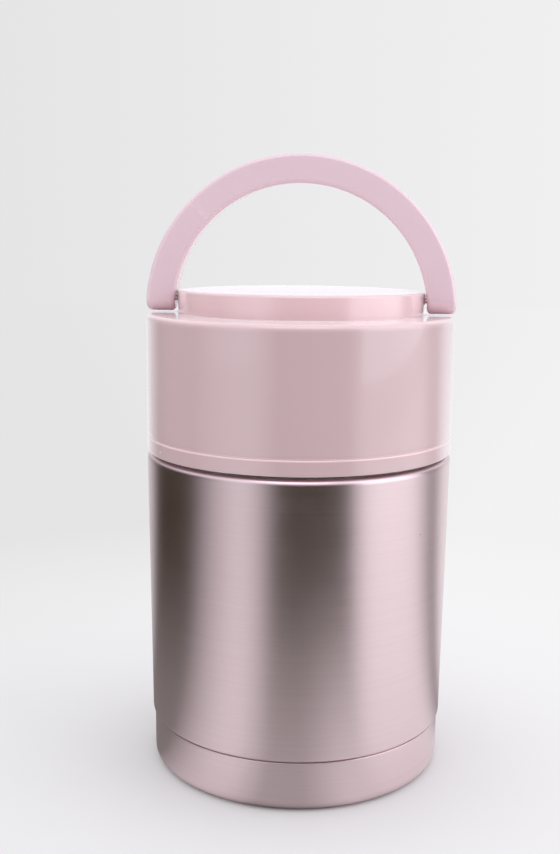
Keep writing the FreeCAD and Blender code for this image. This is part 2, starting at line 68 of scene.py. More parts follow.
LEDGE_HIGHLIGHT_TO = (0.1805, 0.1812)
TRIM_HIGHLIGHT_LEVEL = 0.12695
TRIM_HIGHLIGHT_HALF = 0.0003

Colour = tuple[float, float, float]
Corner = tuple[float, ...]
Grid = np.ndarray
Bump = Callable[[np.ndarray, np.ndarray, np.ndarray], np.ndarray]
Socket = bpy.types.NodeSocket

log = logging.getLogger("food_jar")


class Slot(Enum):
    """The record's material slots."""

    ROSE_STEEL = "rose_steel"
    PLAIN_STEEL = "plain_steel"
    SEALING_GLASS = "sealing_glass"
    PINK_PLASTIC = "pink_plastic"
    WHITE_PLASTIC = "white_plastic"
    WHITE_FOAM = "white_foam"
    SILICONE = "silicone"


@dataclass(frozen=True)
class Span:
    """Reach along X, reach along Y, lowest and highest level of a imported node, in millimetres."""

    reach: float
    depth: float
    low: float
    high: float

    @classmethod
    def of(cls, node: str) -> "Span":
        """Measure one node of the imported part."""
        lowest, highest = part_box(node)
        return cls(highest.x / MM, highest.y / MM, lowest.z / MM, highest.z / MM)


def rounded(corners: Sequence[Corner], closed: bool = True) -> np.ndarray:
    """Turn the corners of a half section into points, with every corner rounded.

    At a corner with rounding r and half angle h between its two sides, the arc starts and ends
    r / tan(h) from the corner, about a centre r / sin(h) along the bisector. A point of the arc
    is the weighted sum of its two end spokes, sin((1-s)a) and sin(sa) over sin(a), where a is
    the arc's turn. Long straight runs get a point near each end, which keeps shading crisp.

    Args:
        corners: (radius, level) or (radius, level, rounding) for each corner.
        closed: whether the last corner joins the first.

    Returns:
        An array of (radius, level) points.
    """
    points = np.array([corner[:2] for corner in corners], float)
    rounds = np.array([corner[2] if len(corner) == 3 else EDGE_ROUND for corner in corners])
    rounds[points[:, 0] == 0] = 0.0
    if not closed:
        rounds[[0, -1]] = 0.0
    back, ahead = np.roll(points, 1, 0) - points, np.roll(points, -1, 0) - points
    back /= np.linalg.norm(back, axis=1, keepdims=True)
    ahead /= np.linalg.norm(ahead, axis=1, keepdims=True)
    half = np.arccos(np.clip((back * ahead).sum(1), -1, 1)) / 2
    steps = np.linspace(0, 1, ARC_STEPS)[:, None]
    runs = []
    for point, rounding, behind, forward, angle in zip(points, rounds, back, ahead, half):
        if rounding == 0 or angle > math.radians(89):
            runs.append(point[None])
            continue
        reach = rounding / math.tan(angle)
        middle = behind + forward
        centre = point + middle / np.linalg.norm(middle) * rounding / math.sin(angle)
        first, last = point + behind * reach - centre, point + forward * reach - centre
        turn = math.pi - 2 * angle
        spokes = np.sin((1 - steps) * turn) * first + np.sin(steps * turn) * last
        runs.append(centre + spokes / math.sin(turn))
    section = np.concatenate(runs)
    following = np.roll(section, -1, 0) - section
    length = np.linalg.norm(following, axis=1, keepdims=True)
    heading = following / np.maximum(length, 1e-9)
    long_run = length[:, 0] > 6 * SUPPORT_RUN
    if not closed:
        long_run[-1] = False
    support = heading * SUPPORT_RUN
    triples = np.stack([section, section + support, section + following - support], 1)
    wanted = np.stack([np.ones_like(long_run), long_run, long_run], 1)
    result = triples[wanted]
    return np.concatenate([result, result[:1]]) if closed else result


def even_angles(columns: int = TURN_COLUMNS) -> np.ndarray:
    """Angles of one full turn, with the first repeated at the end."""
    return np.linspace(0, 2 * math.pi, columns + 1)


def lathe(section: np.ndarray, angles: Optional[np.ndarray] = None, bump: Optional[Bump] = None) -> Grid:
    """Turn a half section about Z: x = r cos(t), y = r sin(t), z = the section's level.

    Args:
        section: (radius, level) points.
        angles: the angles t; even ones if left out.
        bump: what the radius gains at angle t, radius r and level z, all as arrays.

    Returns:
        A grid of points, section by angle.
    """
    angle = (even_angles() if angles is None else angles)[None, :]
    radius, level = section[:, 0, None], section[:, 1, None]
    if bump is not None:
        radius = radius + bump(angle, radius, level)
    return np.stack(np.broadcast_arrays(radius * np.cos(angle), radius * np.sin(angle), level), -1)


def ring(inner: float, span: Span, rounding: float) -> Grid:
    """Turn a flat ring from an inner radius out to a node's reach, between the node's levels."""
    return lathe(rounded([(inner, span.low, rounding), (span.reach, span.low, rounding),
                          (span.reach, span.high, rounding), (inner, span.high, rounding)]))


def weld(grid: Grid) -> tuple[np.ndarray, list[list[int]]]:
    """Join a grid into one closed surface whose faces point outwards.

    Points within a ten-thousandth of a millimetre become one, so that seams and poles close. A
    four-sided cell with one collapsed side becomes a triangle. If the signed volume, a sixth of
    the sum of a . (b x c) over the triangles, is negative, every face is turned over.

    Args:
        grid: a grid of points in millimetres.

    Returns:
        The points, and each face as a list of point numbers.
    """
    index = np.arange(grid[..., 0].size).reshape(grid.shape[:2])
    corners = (index[:-1, :-1], index[:-1, 1:], index[1:, 1:], index[1:, :-1])
    cells = np.stack([corner.ravel() for corner in corners], 1)
    points = grid.reshape(-1, 3)
    keys = np.round(points * WELD_PER_MM).astype(np.int64)
    _, first, place = np.unique(keys, axis=0, return_index=True, return_inverse=True)
    points = points[first]
    cells = place.reshape(-1)[cells]
    flat = cells == np.roll(cells, -1, 1)
    whole = cells[flat.sum(1) == 0]
    pinched = flat.sum(1) == 1
    order = (np.argmax(flat[pinched], 1)[:, None] + np.arange(1, 4)) % 4
    triangles = np.take_along_axis(cells[pinched], order, 1)
    fans = np.concatenate([whole[:, [0, 1, 2]], whole[:, [0, 2, 3]], triangles])
    a, b, c = (points[fans[:, side]] for side in range(3))
    if (a * np.cross(b, c)).sum() < 0:
        whole, triangles = whole[:, ::-1], triangles[:, ::-1]
    return points, whole.tolist() + triangles.tolist()


@dataclass(frozen=True)
class Look:
    """A material and the record's slot that it belongs to."""

    slot: Slot
    material: bpy.types.Material


def add_piece(name: str, grid: Grid, body: str, look: Look, *nodes: str) -> None:
    """Make one piece, whose place is in its mesh, and let it ride on a body.

    Args:
        name: the piece's name.
        grid: its surface in millimetres.
        body: the body that it moves with.
        look: its slot and material.
        nodes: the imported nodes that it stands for.
    """
    points, faces = weld(grid)
    mesh = bpy.data.meshes.new(name)
    mesh.from_pydata((points * MM).tolist(), [], faces)
    mesh.polygons.foreach_set("use_smooth", np.ones(len(mesh.polygons), bool))
    mesh.materials.append(look.material)
    mesh.update()
    piece = bpy.data.objects.new(name, mesh)
    bpy.context.scene.collection.objects.link(piece)
    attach(piece, body)
    if nodes:
        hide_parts(*nodes)
    log.info("%s: %d faces on %s", name, len(faces), body)


def dress(look: Look, *nodes: str) -> None:
    """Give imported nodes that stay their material.

    Args:
        look: the slot and material, of which the record's node keeps the slot.
        nodes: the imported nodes.
    """
    for node in nodes:
        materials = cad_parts[node].data.materials
        materials.clear()
        materials.append(look.material)
        log.info("%s: packed node dressed", node)


class Wiring:
    """Short calls for adding and joining nodes in one node tree."""

    def __init__(self, tree: bpy.types.NodeTree) -> None:
        """Work on a tree."""
        self.tree = tree

    def add(self, kind: str, **settings: object) -> bpy.types.Node:
        """Add a node and set its properties.

        Args:
            kind: the node's type.
            settings: its properties.

        Returns:
            The node.
        """
        node = self.tree.nodes.new(kind)
        for key, value in settings.items():
            setattr(node, key, value)
        return node

    def find(self, kind: str) -> bpy.types.Node:
        """The first node of a type that the tree already has."""
        return next(node for node in self.tree.nodes if node.type == kind)

    def set(self, node: bpy.types.Node, **values: object) -> bpy.types.Node:
        """Set a node's inputs by name, with _ for a space.

        Args:
            node: the node.
            values: the inputs' names and values.

        Returns:
            The same node.
        """
        for key, value in values.items():
            node.inputs[key.replace("_", " ")].default_value = value
        return node

    def link(self, source: Socket, target: Socket) -> None:
        """Join an output to an input."""
        self.tree.links.new(source, target)

    def feed(self, target: Socket, value: object) -> None:
        """Give an input another node's output, a colour or a number.

        Args:
            target: the input.
            value: a socket, a colour or a number.
        """
        if isinstance(value, Socket):
            self.link(value, target)
        else:
            target.default_value = (*value, 1.0) if isinstance(value, tuple) else value

    def math(self, operation: str, first: object, second: object = 0.0) -> Socket:
        """A Math node of two numbers or sockets, and its result.

        Args:
            operation: what the node works out.
            first: its first input.
            second: its second input.

        Returns:
            The node's output.
        """
        node = self.add("ShaderNodeMath", operation=operation)
        self.feed(node.inputs[0], first)
        self.feed(node.inputs[1], second)
        return node.outputs[0]

    def product(self, *factors: object) -> Socket:
        """Multiply numbers or sockets.

        Args:
            factors: what is multiplied.

        Returns:
            The last node's output.
        """
        result = factors[0]
        for factor in factors[1:]:
            result = self.math("MULTIPLY", result, factor)
        return result

    def ramp(self, value: Socket, low: float, high: float, start: float = 0.0, end: float = 1.0) -> Socket:
        """Map a value from low..high to start..end, clamped.

        Args:
            value: the value.
            low: the value that gives start.
            high: the value that gives end.
            start: the result up to low.
            end: the result from high on.

        Returns:
            The mapped value.
        """
        node = self.add("ShaderNodeMapRange")
        self.link(value, node.inputs["Value"])
        self.set(node, From_Min=low, From_Max=high, To_Min=start, To_Max=end)
        return node.outputs["Result"]

    def place(self) -> Socket:
        """Object coordinates, in metres."""
        return self.add("ShaderNodeTexCoord").outputs["Object"]

    def split(self, vector: Socket) -> Sequence[Socket]:
        """The X, Y and Z of a vector.

        Args:
            vector: the vector.

        Returns:
            Its three parts, by place or by name.
        """
        node = self.add("ShaderNodeSeparateXYZ")
        self.link(vector, node.inputs[0])
        return node.outputs

    def unit(self, vector: Socket) -> Socket:
        """The vector's direction.

        Args:
            vector: the vector.

        Returns:
            A vector of length one.
        """
        node = self.add("ShaderNodeVectorMath", operation="NORMALIZE")
        self.link(vector, node.inputs[0])
        return node.outputs["Vector"]

    def noise(self, scale: Colour, detail: float = 2.0, roughness: float = 0.5) -> Socket:
        """Noise on Object coordinates, stretched by a scale per metre along each axis.

        Args:
            scale: periods per metre along X, Y and Z.
            detail: octaves of finer noise.
            roughness: how strong each finer octave is.

        Returns:
            The noise, about a half on average.
        """
        stretch = self.set(self.add("ShaderNodeMapping"), Scale=scale)
        self.link(self.place(), stretch.inputs["Vector"])
        node = self.set(self.add("ShaderNodeTexNoise"), Scale=1.0, Detail=detail, Roughness=roughness)
        self.link(stretch.outputs["Vector"], node.inputs["Vector"])
        return node.outputs["Fac"]

    def cells(self, scale: float) -> Sequence[Socket]:
        """Random cells on Object coordinates, at a scale per metre, by name of output.

        Args:
            scale: cells per metre.

        Returns:
            The node's outputs.
        """
        node = self.set(self.add("ShaderNodeTexVoronoi"), Scale=scale)
        self.link(self.place(), node.inputs["Vector"])
        return node.outputs

    def mix(self, share: object, first: object, second: object) -> Socket:
        """Mix two colours by a share.

        Args:
            share: how much of the second.
            first: the first colour.
            second: the second colour.

        Returns:
            The mixed colour.
        """
        node = self.add("ShaderNodeMix", data_type="RGBA")
        for target, value in zip((node.inputs[0], node.inputs[6], node.inputs[7]), (share, first, second)):
            self.feed(target, value)
        return node.outputs[2]

    def group(self, tree: bpy.types.NodeTree, **values: object) -> Sequence[Socket]:
        """Place a node group, give its inputs numbers or sockets, and hand over its outputs.

        Args:
            tree: the group.
            values: its inputs by name.

        Returns:
            The outputs, by name or place.
        """
        node = self.add("ShaderNodeGroup", node_tree=tree)
        for key, value in values.items():
            self.feed(node.inputs[key], value)
        return node.outputs


class Group(Wiring):
    """A shader node group in the making."""

    def __init__(self, name: str, inputs: dict[str, Optional[float]], outputs: dict[str, str]) -> None:
        """Start the group.

        Args:
            name: the group's name.
            inputs: each input's default number, or None for a vector.
            outputs: each output's kind, Float or Color.
        """
        super().__init__(bpy.data.node_groups.new(name, "ShaderNodeTree"))
        sockets = self.tree.interface
        for label, value in inputs.items():
            if value is None:
                sockets.new_socket(label, in_out="INPUT", socket_type="NodeSocketVector")
            else:
                socket = sockets.new_socket(label, in_out="INPUT", socket_type="NodeSocketFloat")
                socket.default_value = value
        for label, kind in outputs.items():
            sockets.new_socket(label, in_out="OUTPUT", socket_type=f"NodeSocket{kind}")
        self.given = self.add("NodeGroupInput").outputs
        self.results = self.add("NodeGroupOutput").inputs

    def give(self, **values: Socket) -> bpy.types.NodeTree:
        """Feed the group's outputs and hand over its tree.

        Args:
            values: a socket for each output, by name.

        Returns:
            The finished group's tree.
        """
        for label, value in values.items():
            self.link(value, self.results[label])
        return self.tree


def brushing_group() -> bpy.types.NodeTree:
    """Lines left by a brush on a turning piece: noise that changes fast up it and slowly round it.

    Returns:
        The group's tree.
    """
    group = Group("turned_brushing", {"Coarse": 0.4}, {"Line": "Float"})
    fine = group.noise((30.0, 30.0, 5200.0), 3.0, 0.6)
    coarse = group.noise((4.0, 4.0, 1100.0), 3.0, 0.6)
    share = group.given["Coarse"]
    rest = group.math("SUBTRACT", 1.0, share)
    return group.give(Line=group.math("ADD", group.product(coarse, share), group.product(fine, rest)))


def handling_group() -> bpy.types.NodeTree:
    """Faint smudges left by hands: a broad noise with a finer one inside its high parts.

    Returns:
        The group's tree.
    """
    group = Group("handling", {"Amount": 1.0}, {"Smudge": "Float"})
    broad = group.ramp(group.noise((38.0, 38.0, 30.0), 4.0, 0.6), 0.48, 0.72)
    grain = group.noise((420.0, 420.0, 420.0), 3.0, 0.7)
    return group.give(Smudge=group.product(broad, grain, group.given["Amount"]))


def speck_group() -> bpy.types.NodeTree:
    """Sparse specks of dust: the middles of a few random cells, each a fraction of a millimetre.

    Returns:
        The group's tree.
    """
    group = Group("dust_specks", {"Size": 0.05, "Rarity": 0.9}, {"Speck": "Float"})
    cells = group.cells(150.0)
    chance = group.add("ShaderNodeSeparateColor")
    group.link(cells["Color"], chance.inputs["Color"])
    inside = group.math("LESS_THAN", cells["Distance"], group.given["Size"])
    chosen = group.math("GREATER_THAN", chance.outputs[0], group.given["Rarity"])
    return group.give(Speck=group.product(inside, chosen))


def wear_group() -> bpy.types.NodeTree:
    """Edges rubbed by use: where the surface is sharply convex, broken up by noise.

    Returns:
        The group's tree.
    """
    group = Group("edge_wear", {"Amount": 1.0}, {"Wear": "Float"})
    edge = group.ramp(group.add("ShaderNodeNewGeometry").outputs["Pointiness"], 0.53, 0.62)
    broken = group.ramp(group.noise((300.0, 300.0, 300.0), 3.0, 0.6), 0.35, 0.65)
    return group.give(Wear=group.product(edge, broken, group.given["Amount"]))


def moulding_group() -> bpy.types.NodeTree:
    """The slight unevenness of a moulded skin: a slow waviness with a fine grain on it.

    Returns:
        The group's tree.
    """
    group = Group("moulded_skin", {"Grain": 0.3}, {"Height": "Float"})
    wave = group.noise((70.0, 70.0, 70.0), 1.0)
    grain = group.product(group.noise((1500.0, 1500.0, 1500.0), 2.0), group.given["Grain"])
    return group.give(Height=group.math("ADD", wave, grain))


@dataclass(frozen=True)
class SurfaceGroups:
    """The node groups that the finishes share."""

    brushing: bpy.types.NodeTree
    handling: bpy.types.NodeTree
    specks: bpy.types.NodeTree
    wear: bpy.types.NodeTree
    moulding: bpy.types.NodeTree

    @classmethod
    def build(cls) -> "SurfaceGroups":
        """Build each group once."""
        return cls(brushing_group(), handling_group(), speck_group(), wear_group(), moulding_group())


def scaled(colour: Colour, gain: float) -> Colour:
    """The colour with each part times a gain, up to white."""
    return tuple(min(1.0, part * gain) for part in colour)


def paled(colour: Colour, share: float) -> Colour:
    """The colour moved a share of the way to white."""
    return tuple(part + (1.0 - part) * share for part in colour)


def start_material(name: str) -> tuple[bpy.types.Material, Wiring, bpy.types.Node]:
    """A new node material with its Principled shader.

    Args:
        name: the material's name.

    Returns:
        The material, its wiring and its shader.
    """
    material = bpy.data.materials.new(name)
    material.use_nodes = True
    wiring = Wiring(material.node_tree)
    return material, wiring, wiring.find("BSDF_PRINCIPLED")


def add_bump(wiring: Wiring, shader: bpy.types.Node, height: Socket, distance: float,
             strength: float) -> None:
    """Let a height in millimetres of distance bend the shader's normal.

    Args:
        wiring: the material's wiring.
        shader: its shader.
        height: the height, from 0 to 1.
        distance: how high 1 stands.
        strength: the share of the bump that shows.
    """
    bump = wiring.set(wiring.add("ShaderNodeBump"), Strength=strength, Distance=distance * MM)
    wiring.link(height, bump.inputs["Height"])
    wiring.link(bump.outputs["Normal"], shader.inputs["Normal"])


@dataclass(frozen=True)
class BrushedSteel:
    """Stainless steel brushed round its axis, as a lathe leaves it."""

    name: str
    tint: Colour
    line_tint: Colour
    roughness: float
    spread: float
    anisotropy: float
    coarse: float
    relief: float

    def material(self, groups: SurfaceGroups) -> bpy.types.Material:
        """The material: lines in colour, roughness and relief, smudges and a few specks.

        Args:
            groups: the shared node groups.

        Returns:
            The material.
        """
        material, wiring, shader = start_material(self.name)
        line = wiring.group(groups.brushing, Coarse=self.coarse)[0]
        smudge = wiring.group(groups.handling, Amount=0.5)[0]
        speck = wiring.group(groups.specks, Size=0.035, Rarity=0.93)[0]
        wear = wiring.group(groups.wear, Amount=0.6)[0]
        colour = wiring.mix(wiring.ramp(line, 0.3, 0.7), self.tint, self.line_tint)
        colour = wiring.mix(wear, colour, scaled(self.line_tint, 1.15))
        colour = wiring.mix(speck, colour, scaled(self.tint, 0.35))
        wiring.link(colour, shader.inputs["Base Color"])
        rough = wiring.ramp(line, 0.3, 0.7, self.roughness - self.spread, self.roughness + self.spread)
        wiring.link(wiring.math("ADD", rough, wiring.product(smudge, 0.12)), shader.inputs["Roughness"])
        wiring.set(shader, Metallic=1.0, Anisotropic=self.anisotropy, Anisotropic_Rotation=0.25)
        around = wiring.add("ShaderNodeTangent", direction_type="RADIAL", axis="Z")
        wiring.link(around.outputs["Tangent"], shader.inputs["Tangent"])
        add_bump(wiring, shader, line, self.relief, 0.5)
        return material


@dataclass(frozen=True)
class GlossyPlastic:
    """Hard moulded plastic, polished or satin."""

    name: str
    tint: Colour
    shade: Colour
    roughness: float
    coat: float
    coat_roughness: float
    index: float
    sheen: float
    grain: float
    relief: float
    # Gains of the painted highlights on the ledge band and the trim line; 0 paints none.
    ledge_highlight_gain: float = 0.0
    trim_highlight_gain: float = 0.0

    def painted_highlight_bands(self, wiring: Wiring, colour: Socket) -> Socket:
        """Paint highlights on the ledge, the platform's wall and the trim line, by making their colour
        paler where light catches them.

        Args:
            wiring: the material's wiring.
            colour: the colour elsewhere.

        Returns:
            The colour with its painted highlight bands.
        """
        height = wiring.split(wiring.place())["Z"]
        # Painted highlight: the colour is made paler between the ledge and the crown.
        above, below = wiring.ramp(height, *LEDGE_HIGHLIGHT_FROM), wiring.ramp(height, *LEDGE_HIGHLIGHT_TO, 1.0, 0.0)
        colour = wiring.mix(wiring.product(above, below), colour, scaled(self.tint, self.ledge_highlight_gain))
        # Painted highlight: a thin band at the trim line is made paler, standing in for light caught by the
        # step.
        off = wiring.math("ABSOLUTE", wiring.math("SUBTRACT", height, TRIM_HIGHLIGHT_LEVEL))
        trim = wiring.ramp(off, 2 * TRIM_HIGHLIGHT_HALF, TRIM_HIGHLIGHT_HALF)
        return wiring.mix(trim, colour, scaled(self.tint, self.trim_highlight_gain))

    def material(self, groups: SurfaceGroups) -> bpy.types.Material:
        """The material: a slow drift of colour, a moulded skin, smudges, painted highlights on the ledge,
        platform wall and trim line, worn edges and dust.

        Args:
            groups: the shared node groups.

        Returns:
            The material.
        """
        material, wiring, shader = start_material(self.name)
        drift = wiring.ramp(wiring.noise((16.0, 16.0, 16.0), 2.0), 0.35, 0.65)
        smudge = wiring.group(groups.handling, Amount=1.0)[0]
        speck = wiring.group(groups.specks, Size=0.045, Rarity=0.94)[0]
        wear = wiring.group(groups.wear, Amount=0.35)[0]
        colour = wiring.mix(drift, self.tint, self.shade)
        # Painted highlights on the ledge, platform wall and trim line, for the lid only.
        if self.ledge_highlight_gain:
            colour = self.painted_highlight_bands(wiring, colour)
        colour = wiring.mix(wear, colour, paled(self.tint, 0.45))
        colour = wiring.mix(speck, colour, paled(self.tint, 0.6))
        wiring.link(colour, shader.inputs["Base Color"])
        rough = wiring.math("ADD", self.roughness, wiring.product(smudge, 0.1))
        wiring.link(wiring.math("ADD", rough, wiring.product(speck, 0.3)), shader.inputs["Roughness"])
        wiring.set(shader, IOR=self.index, Coat_Weight=self.coat, Coat_Roughness=self.coat_roughness,
                   Sheen_Weight=self.sheen, Sheen_Roughness=0.35)
        add_bump(wiring, shader, wiring.group(groups.moulding, Grain=self.grain)[0], self.relief, 0.4)
        return material


@dataclass(frozen=True)
class BeadedFoam:
    """Rigid insulating foam made of pressed beads."""

    name: str
    tint: Colour
    bead: float

    def material(self, groups: SurfaceGroups) -> bpy.types.Material:
        """The material: rounded cells with darker joints between them.

        Args:
            groups: the shared node groups.

        Returns:
            The material.
        """
        material, wiring, shader = start_material(self.name)
        joint = wiring.ramp(wiring.cells(1.0 / (self.bead * MM))["Distance"], 0.35, 0.75)
        wiring.link(wiring.mix(joint, self.tint, scaled(self.tint, 0.8)), shader.inputs["Base Color"])
        smudge = wiring.group(groups.handling, Amount=0.5)[0]
        wiring.link(wiring.ramp(smudge, 0.0, 1.0, 0.78, 0.9), shader.inputs["Roughness"])
        add_bump(wiring, shader, wiring.math("SUBTRACT", 1.0, joint), 0.3, 0.7)
        return material


@dataclass(frozen=True)
class SoftRubber:
    """Milky silicone with a fine matt skin."""

    name: str
    tint: Colour

    def material(self, groups: SurfaceGroups) -> bpy.types.Material:
        """The material: a matt skin that holds a little dust.

        Args:
            groups: the shared node groups.

        Returns:
            The material.
        """
        material, wiring, shader = start_material(self.name)
        speck = wiring.group(groups.specks, Size=0.08, Rarity=0.8)[0]
        colour = wiring.mix(wiring.noise((90.0, 90.0, 90.0)), self.tint, scaled(self.tint, 0.9))
        wiring.link(wiring.mix(speck, colour, (0.9, 0.9, 0.88)), shader.inputs["Base Color"])
        grain = wiring.group(groups.moulding, Grain=0.8)[0]
        wiring.link(wiring.ramp(grain, 0.3, 1.2, 0.45, 0.6), shader.inputs["Roughness"])
        add_bump(wiring, shader, grain, 0.03, 0.5)
        return material


@dataclass(frozen=True)
class FiredGlass:
    """The dark glass bead that seals the evacuation hole."""

    name: str
    tint: Colour

    def material(self, groups: SurfaceGroups) -> bpy.types.Material:
        """The material: dark, glossy and faintly clouded.

        Args:
            groups: the shared node groups.

        Returns:
            The material.
        """
        material, wiring, shader = start_material(self.name)
        cloud = wiring.ramp(wiring.noise((300.0, 300.0, 300.0), 4.0, 0.6), 0.35, 0.7)
        wiring.link(wiring.mix(cloud, self.tint, scaled(self.tint, 1.6)), shader.inputs["Base Color"])
        smudge = wiring.group(groups.handling, Amount=1.0)[0]
        wiring.link(wiring.ramp(smudge, 0.0, 1.0, 0.08, 0.25), shader.inputs["Roughness"])
        add_bump(wiring, shader, cloud, 0.05, 0.3)
        return material


@dataclass(frozen=True)
class Palette:
    """Every look of the jar."""

    rose_steel: Look
    plain_steel: Look
    lid_pink: Look
    bail_pink: Look
    white_plastic: Look
    foam: Look
    silicone: Look
    glass: Look

    @classmethod
    def build(cls) -> "Palette":
        """Make the materials from their finishes.

        Returns:
            The looks.
        """
        groups = SurfaceGroups.build()
        finishes = (
            (Slot.ROSE_STEEL, BrushedSteel(
                "rose_brushed_steel", (0.785, 0.635, 0.655), (0.845, 0.69, 0.715),
                roughness=0.30, spread=0.025, anisotropy=0.2, coarse=0.45, relief=0.004)),
            (Slot.PLAIN_STEEL, BrushedSteel(
                "plain_brushed_steel", (0.58, 0.58, 0.585), (0.68, 0.68, 0.685),
                roughness=0.28, spread=0.05, anisotropy=0.55, coarse=0.5, relief=0.004)),
            # The lid's pink carries painted highlights on its ledge band and trim line.
            (Slot.PINK_PLASTIC, GlossyPlastic(
                "lid_pink_plastic", (0.575, 0.420, 0.438), (0.563, 0.410, 0.428),
                roughness=0.14, coat=1.0, coat_roughness=0.03, index=1.6, sheen=0.5,
                grain=0.15, relief=0.01, ledge_highlight_gain=1.36, trim_highlight_gain=1.45)),
            (Slot.PINK_PLASTIC, GlossyPlastic(
                "bail_pink_plastic", (0.775, 0.595, 0.655), (0.76, 0.58, 0.64),
                roughness=0.18, coat=1.0, coat_roughness=0.05, index=1.5, sheen=0.2,
                grain=0.2, relief=0.01)),
            (Slot.WHITE_PLASTIC, GlossyPlastic(
                "stopper_white_plastic", (0.64, 0.62, 0.605), (0.62, 0.60, 0.585),
                roughness=0.38, coat=0.0, coat_roughness=0.1, index=1.5, sheen=0.0,
                grain=0.8, relief=0.02)),
            (Slot.WHITE_FOAM, BeadedFoam("insulating_foam", (0.70, 0.70, 0.68), 2.6)),
            (Slot.SILICONE, SoftRubber("milky_silicone", (0.74, 0.72, 0.69))),
            (Slot.SEALING_GLASS, FiredGlass("sealing_glass_bead", (0.10, 0.09, 0.08))),
        )
        return cls(*(Look(slot, finish.material(groups)) for slot, finish in finishes))


@dataclass(frozen=True)
class LugRing:
    """Bevelled lugs of a quarter-turn closure, added to a turned wall.

    At angle t and level z a lug adds height times the lesser of 1, the distance to its nearer
    end level over its bevel, and the angle left to its nearer end over its fade.
    """

    low: float
    first_angle: float
    side: int
    count: int = 3
    span: float = 40.0
    height: float = 1.3
    width: float = 2.4
    bevel: float = 0.6
    fade: float = 1.4

    def levels(self) -> tuple[float, ...]:
        """Levels of a lug's creases, from the lowest."""
        high = self.low + self.width
        return (self.low, self.low + self.bevel, high - self.bevel, high)

    def corners(self, radius: float, upwards: bool = True) -> list[Corner]:
        """Corners that a wall of this radius needs for the lugs."""
        levels = self.levels() if upwards else self.levels()[::-1]
        return [(radius, level, 0.0) for level in levels]

    def bump(self, wall: float) -> Bump:
        """The gain in radius for points that lie on the wall.

        Args:
            wall: the wall's radius.

        Returns:
            A function of angle, radius and level for lathe.
        """
        pitch = 360.0 / self.count

        def gain(angle: np.ndarray, radius: np.ndarray, level: np.ndarray) -> np.ndarray:
            """Radius gained by each point.

            Args:
                angle: each point's angle about Z.
                radius: its radius.
                level: its level.

            Returns:
                The height of the lug there.
            """
            turned = np.degrees(angle) - self.first_angle
            off = np.abs((turned + pitch / 2) % pitch - pitch / 2)
            along = np.clip((self.span / 2 - off) / self.fade, 0, 1)
            inside = np.minimum(level - self.low, self.low + self.width - level) / self.bevel
            across = np.clip(inside, 0, 1) * (np.abs(radius - wall) < 1e-6)
            return self.side * self.height * along * across
        return gain


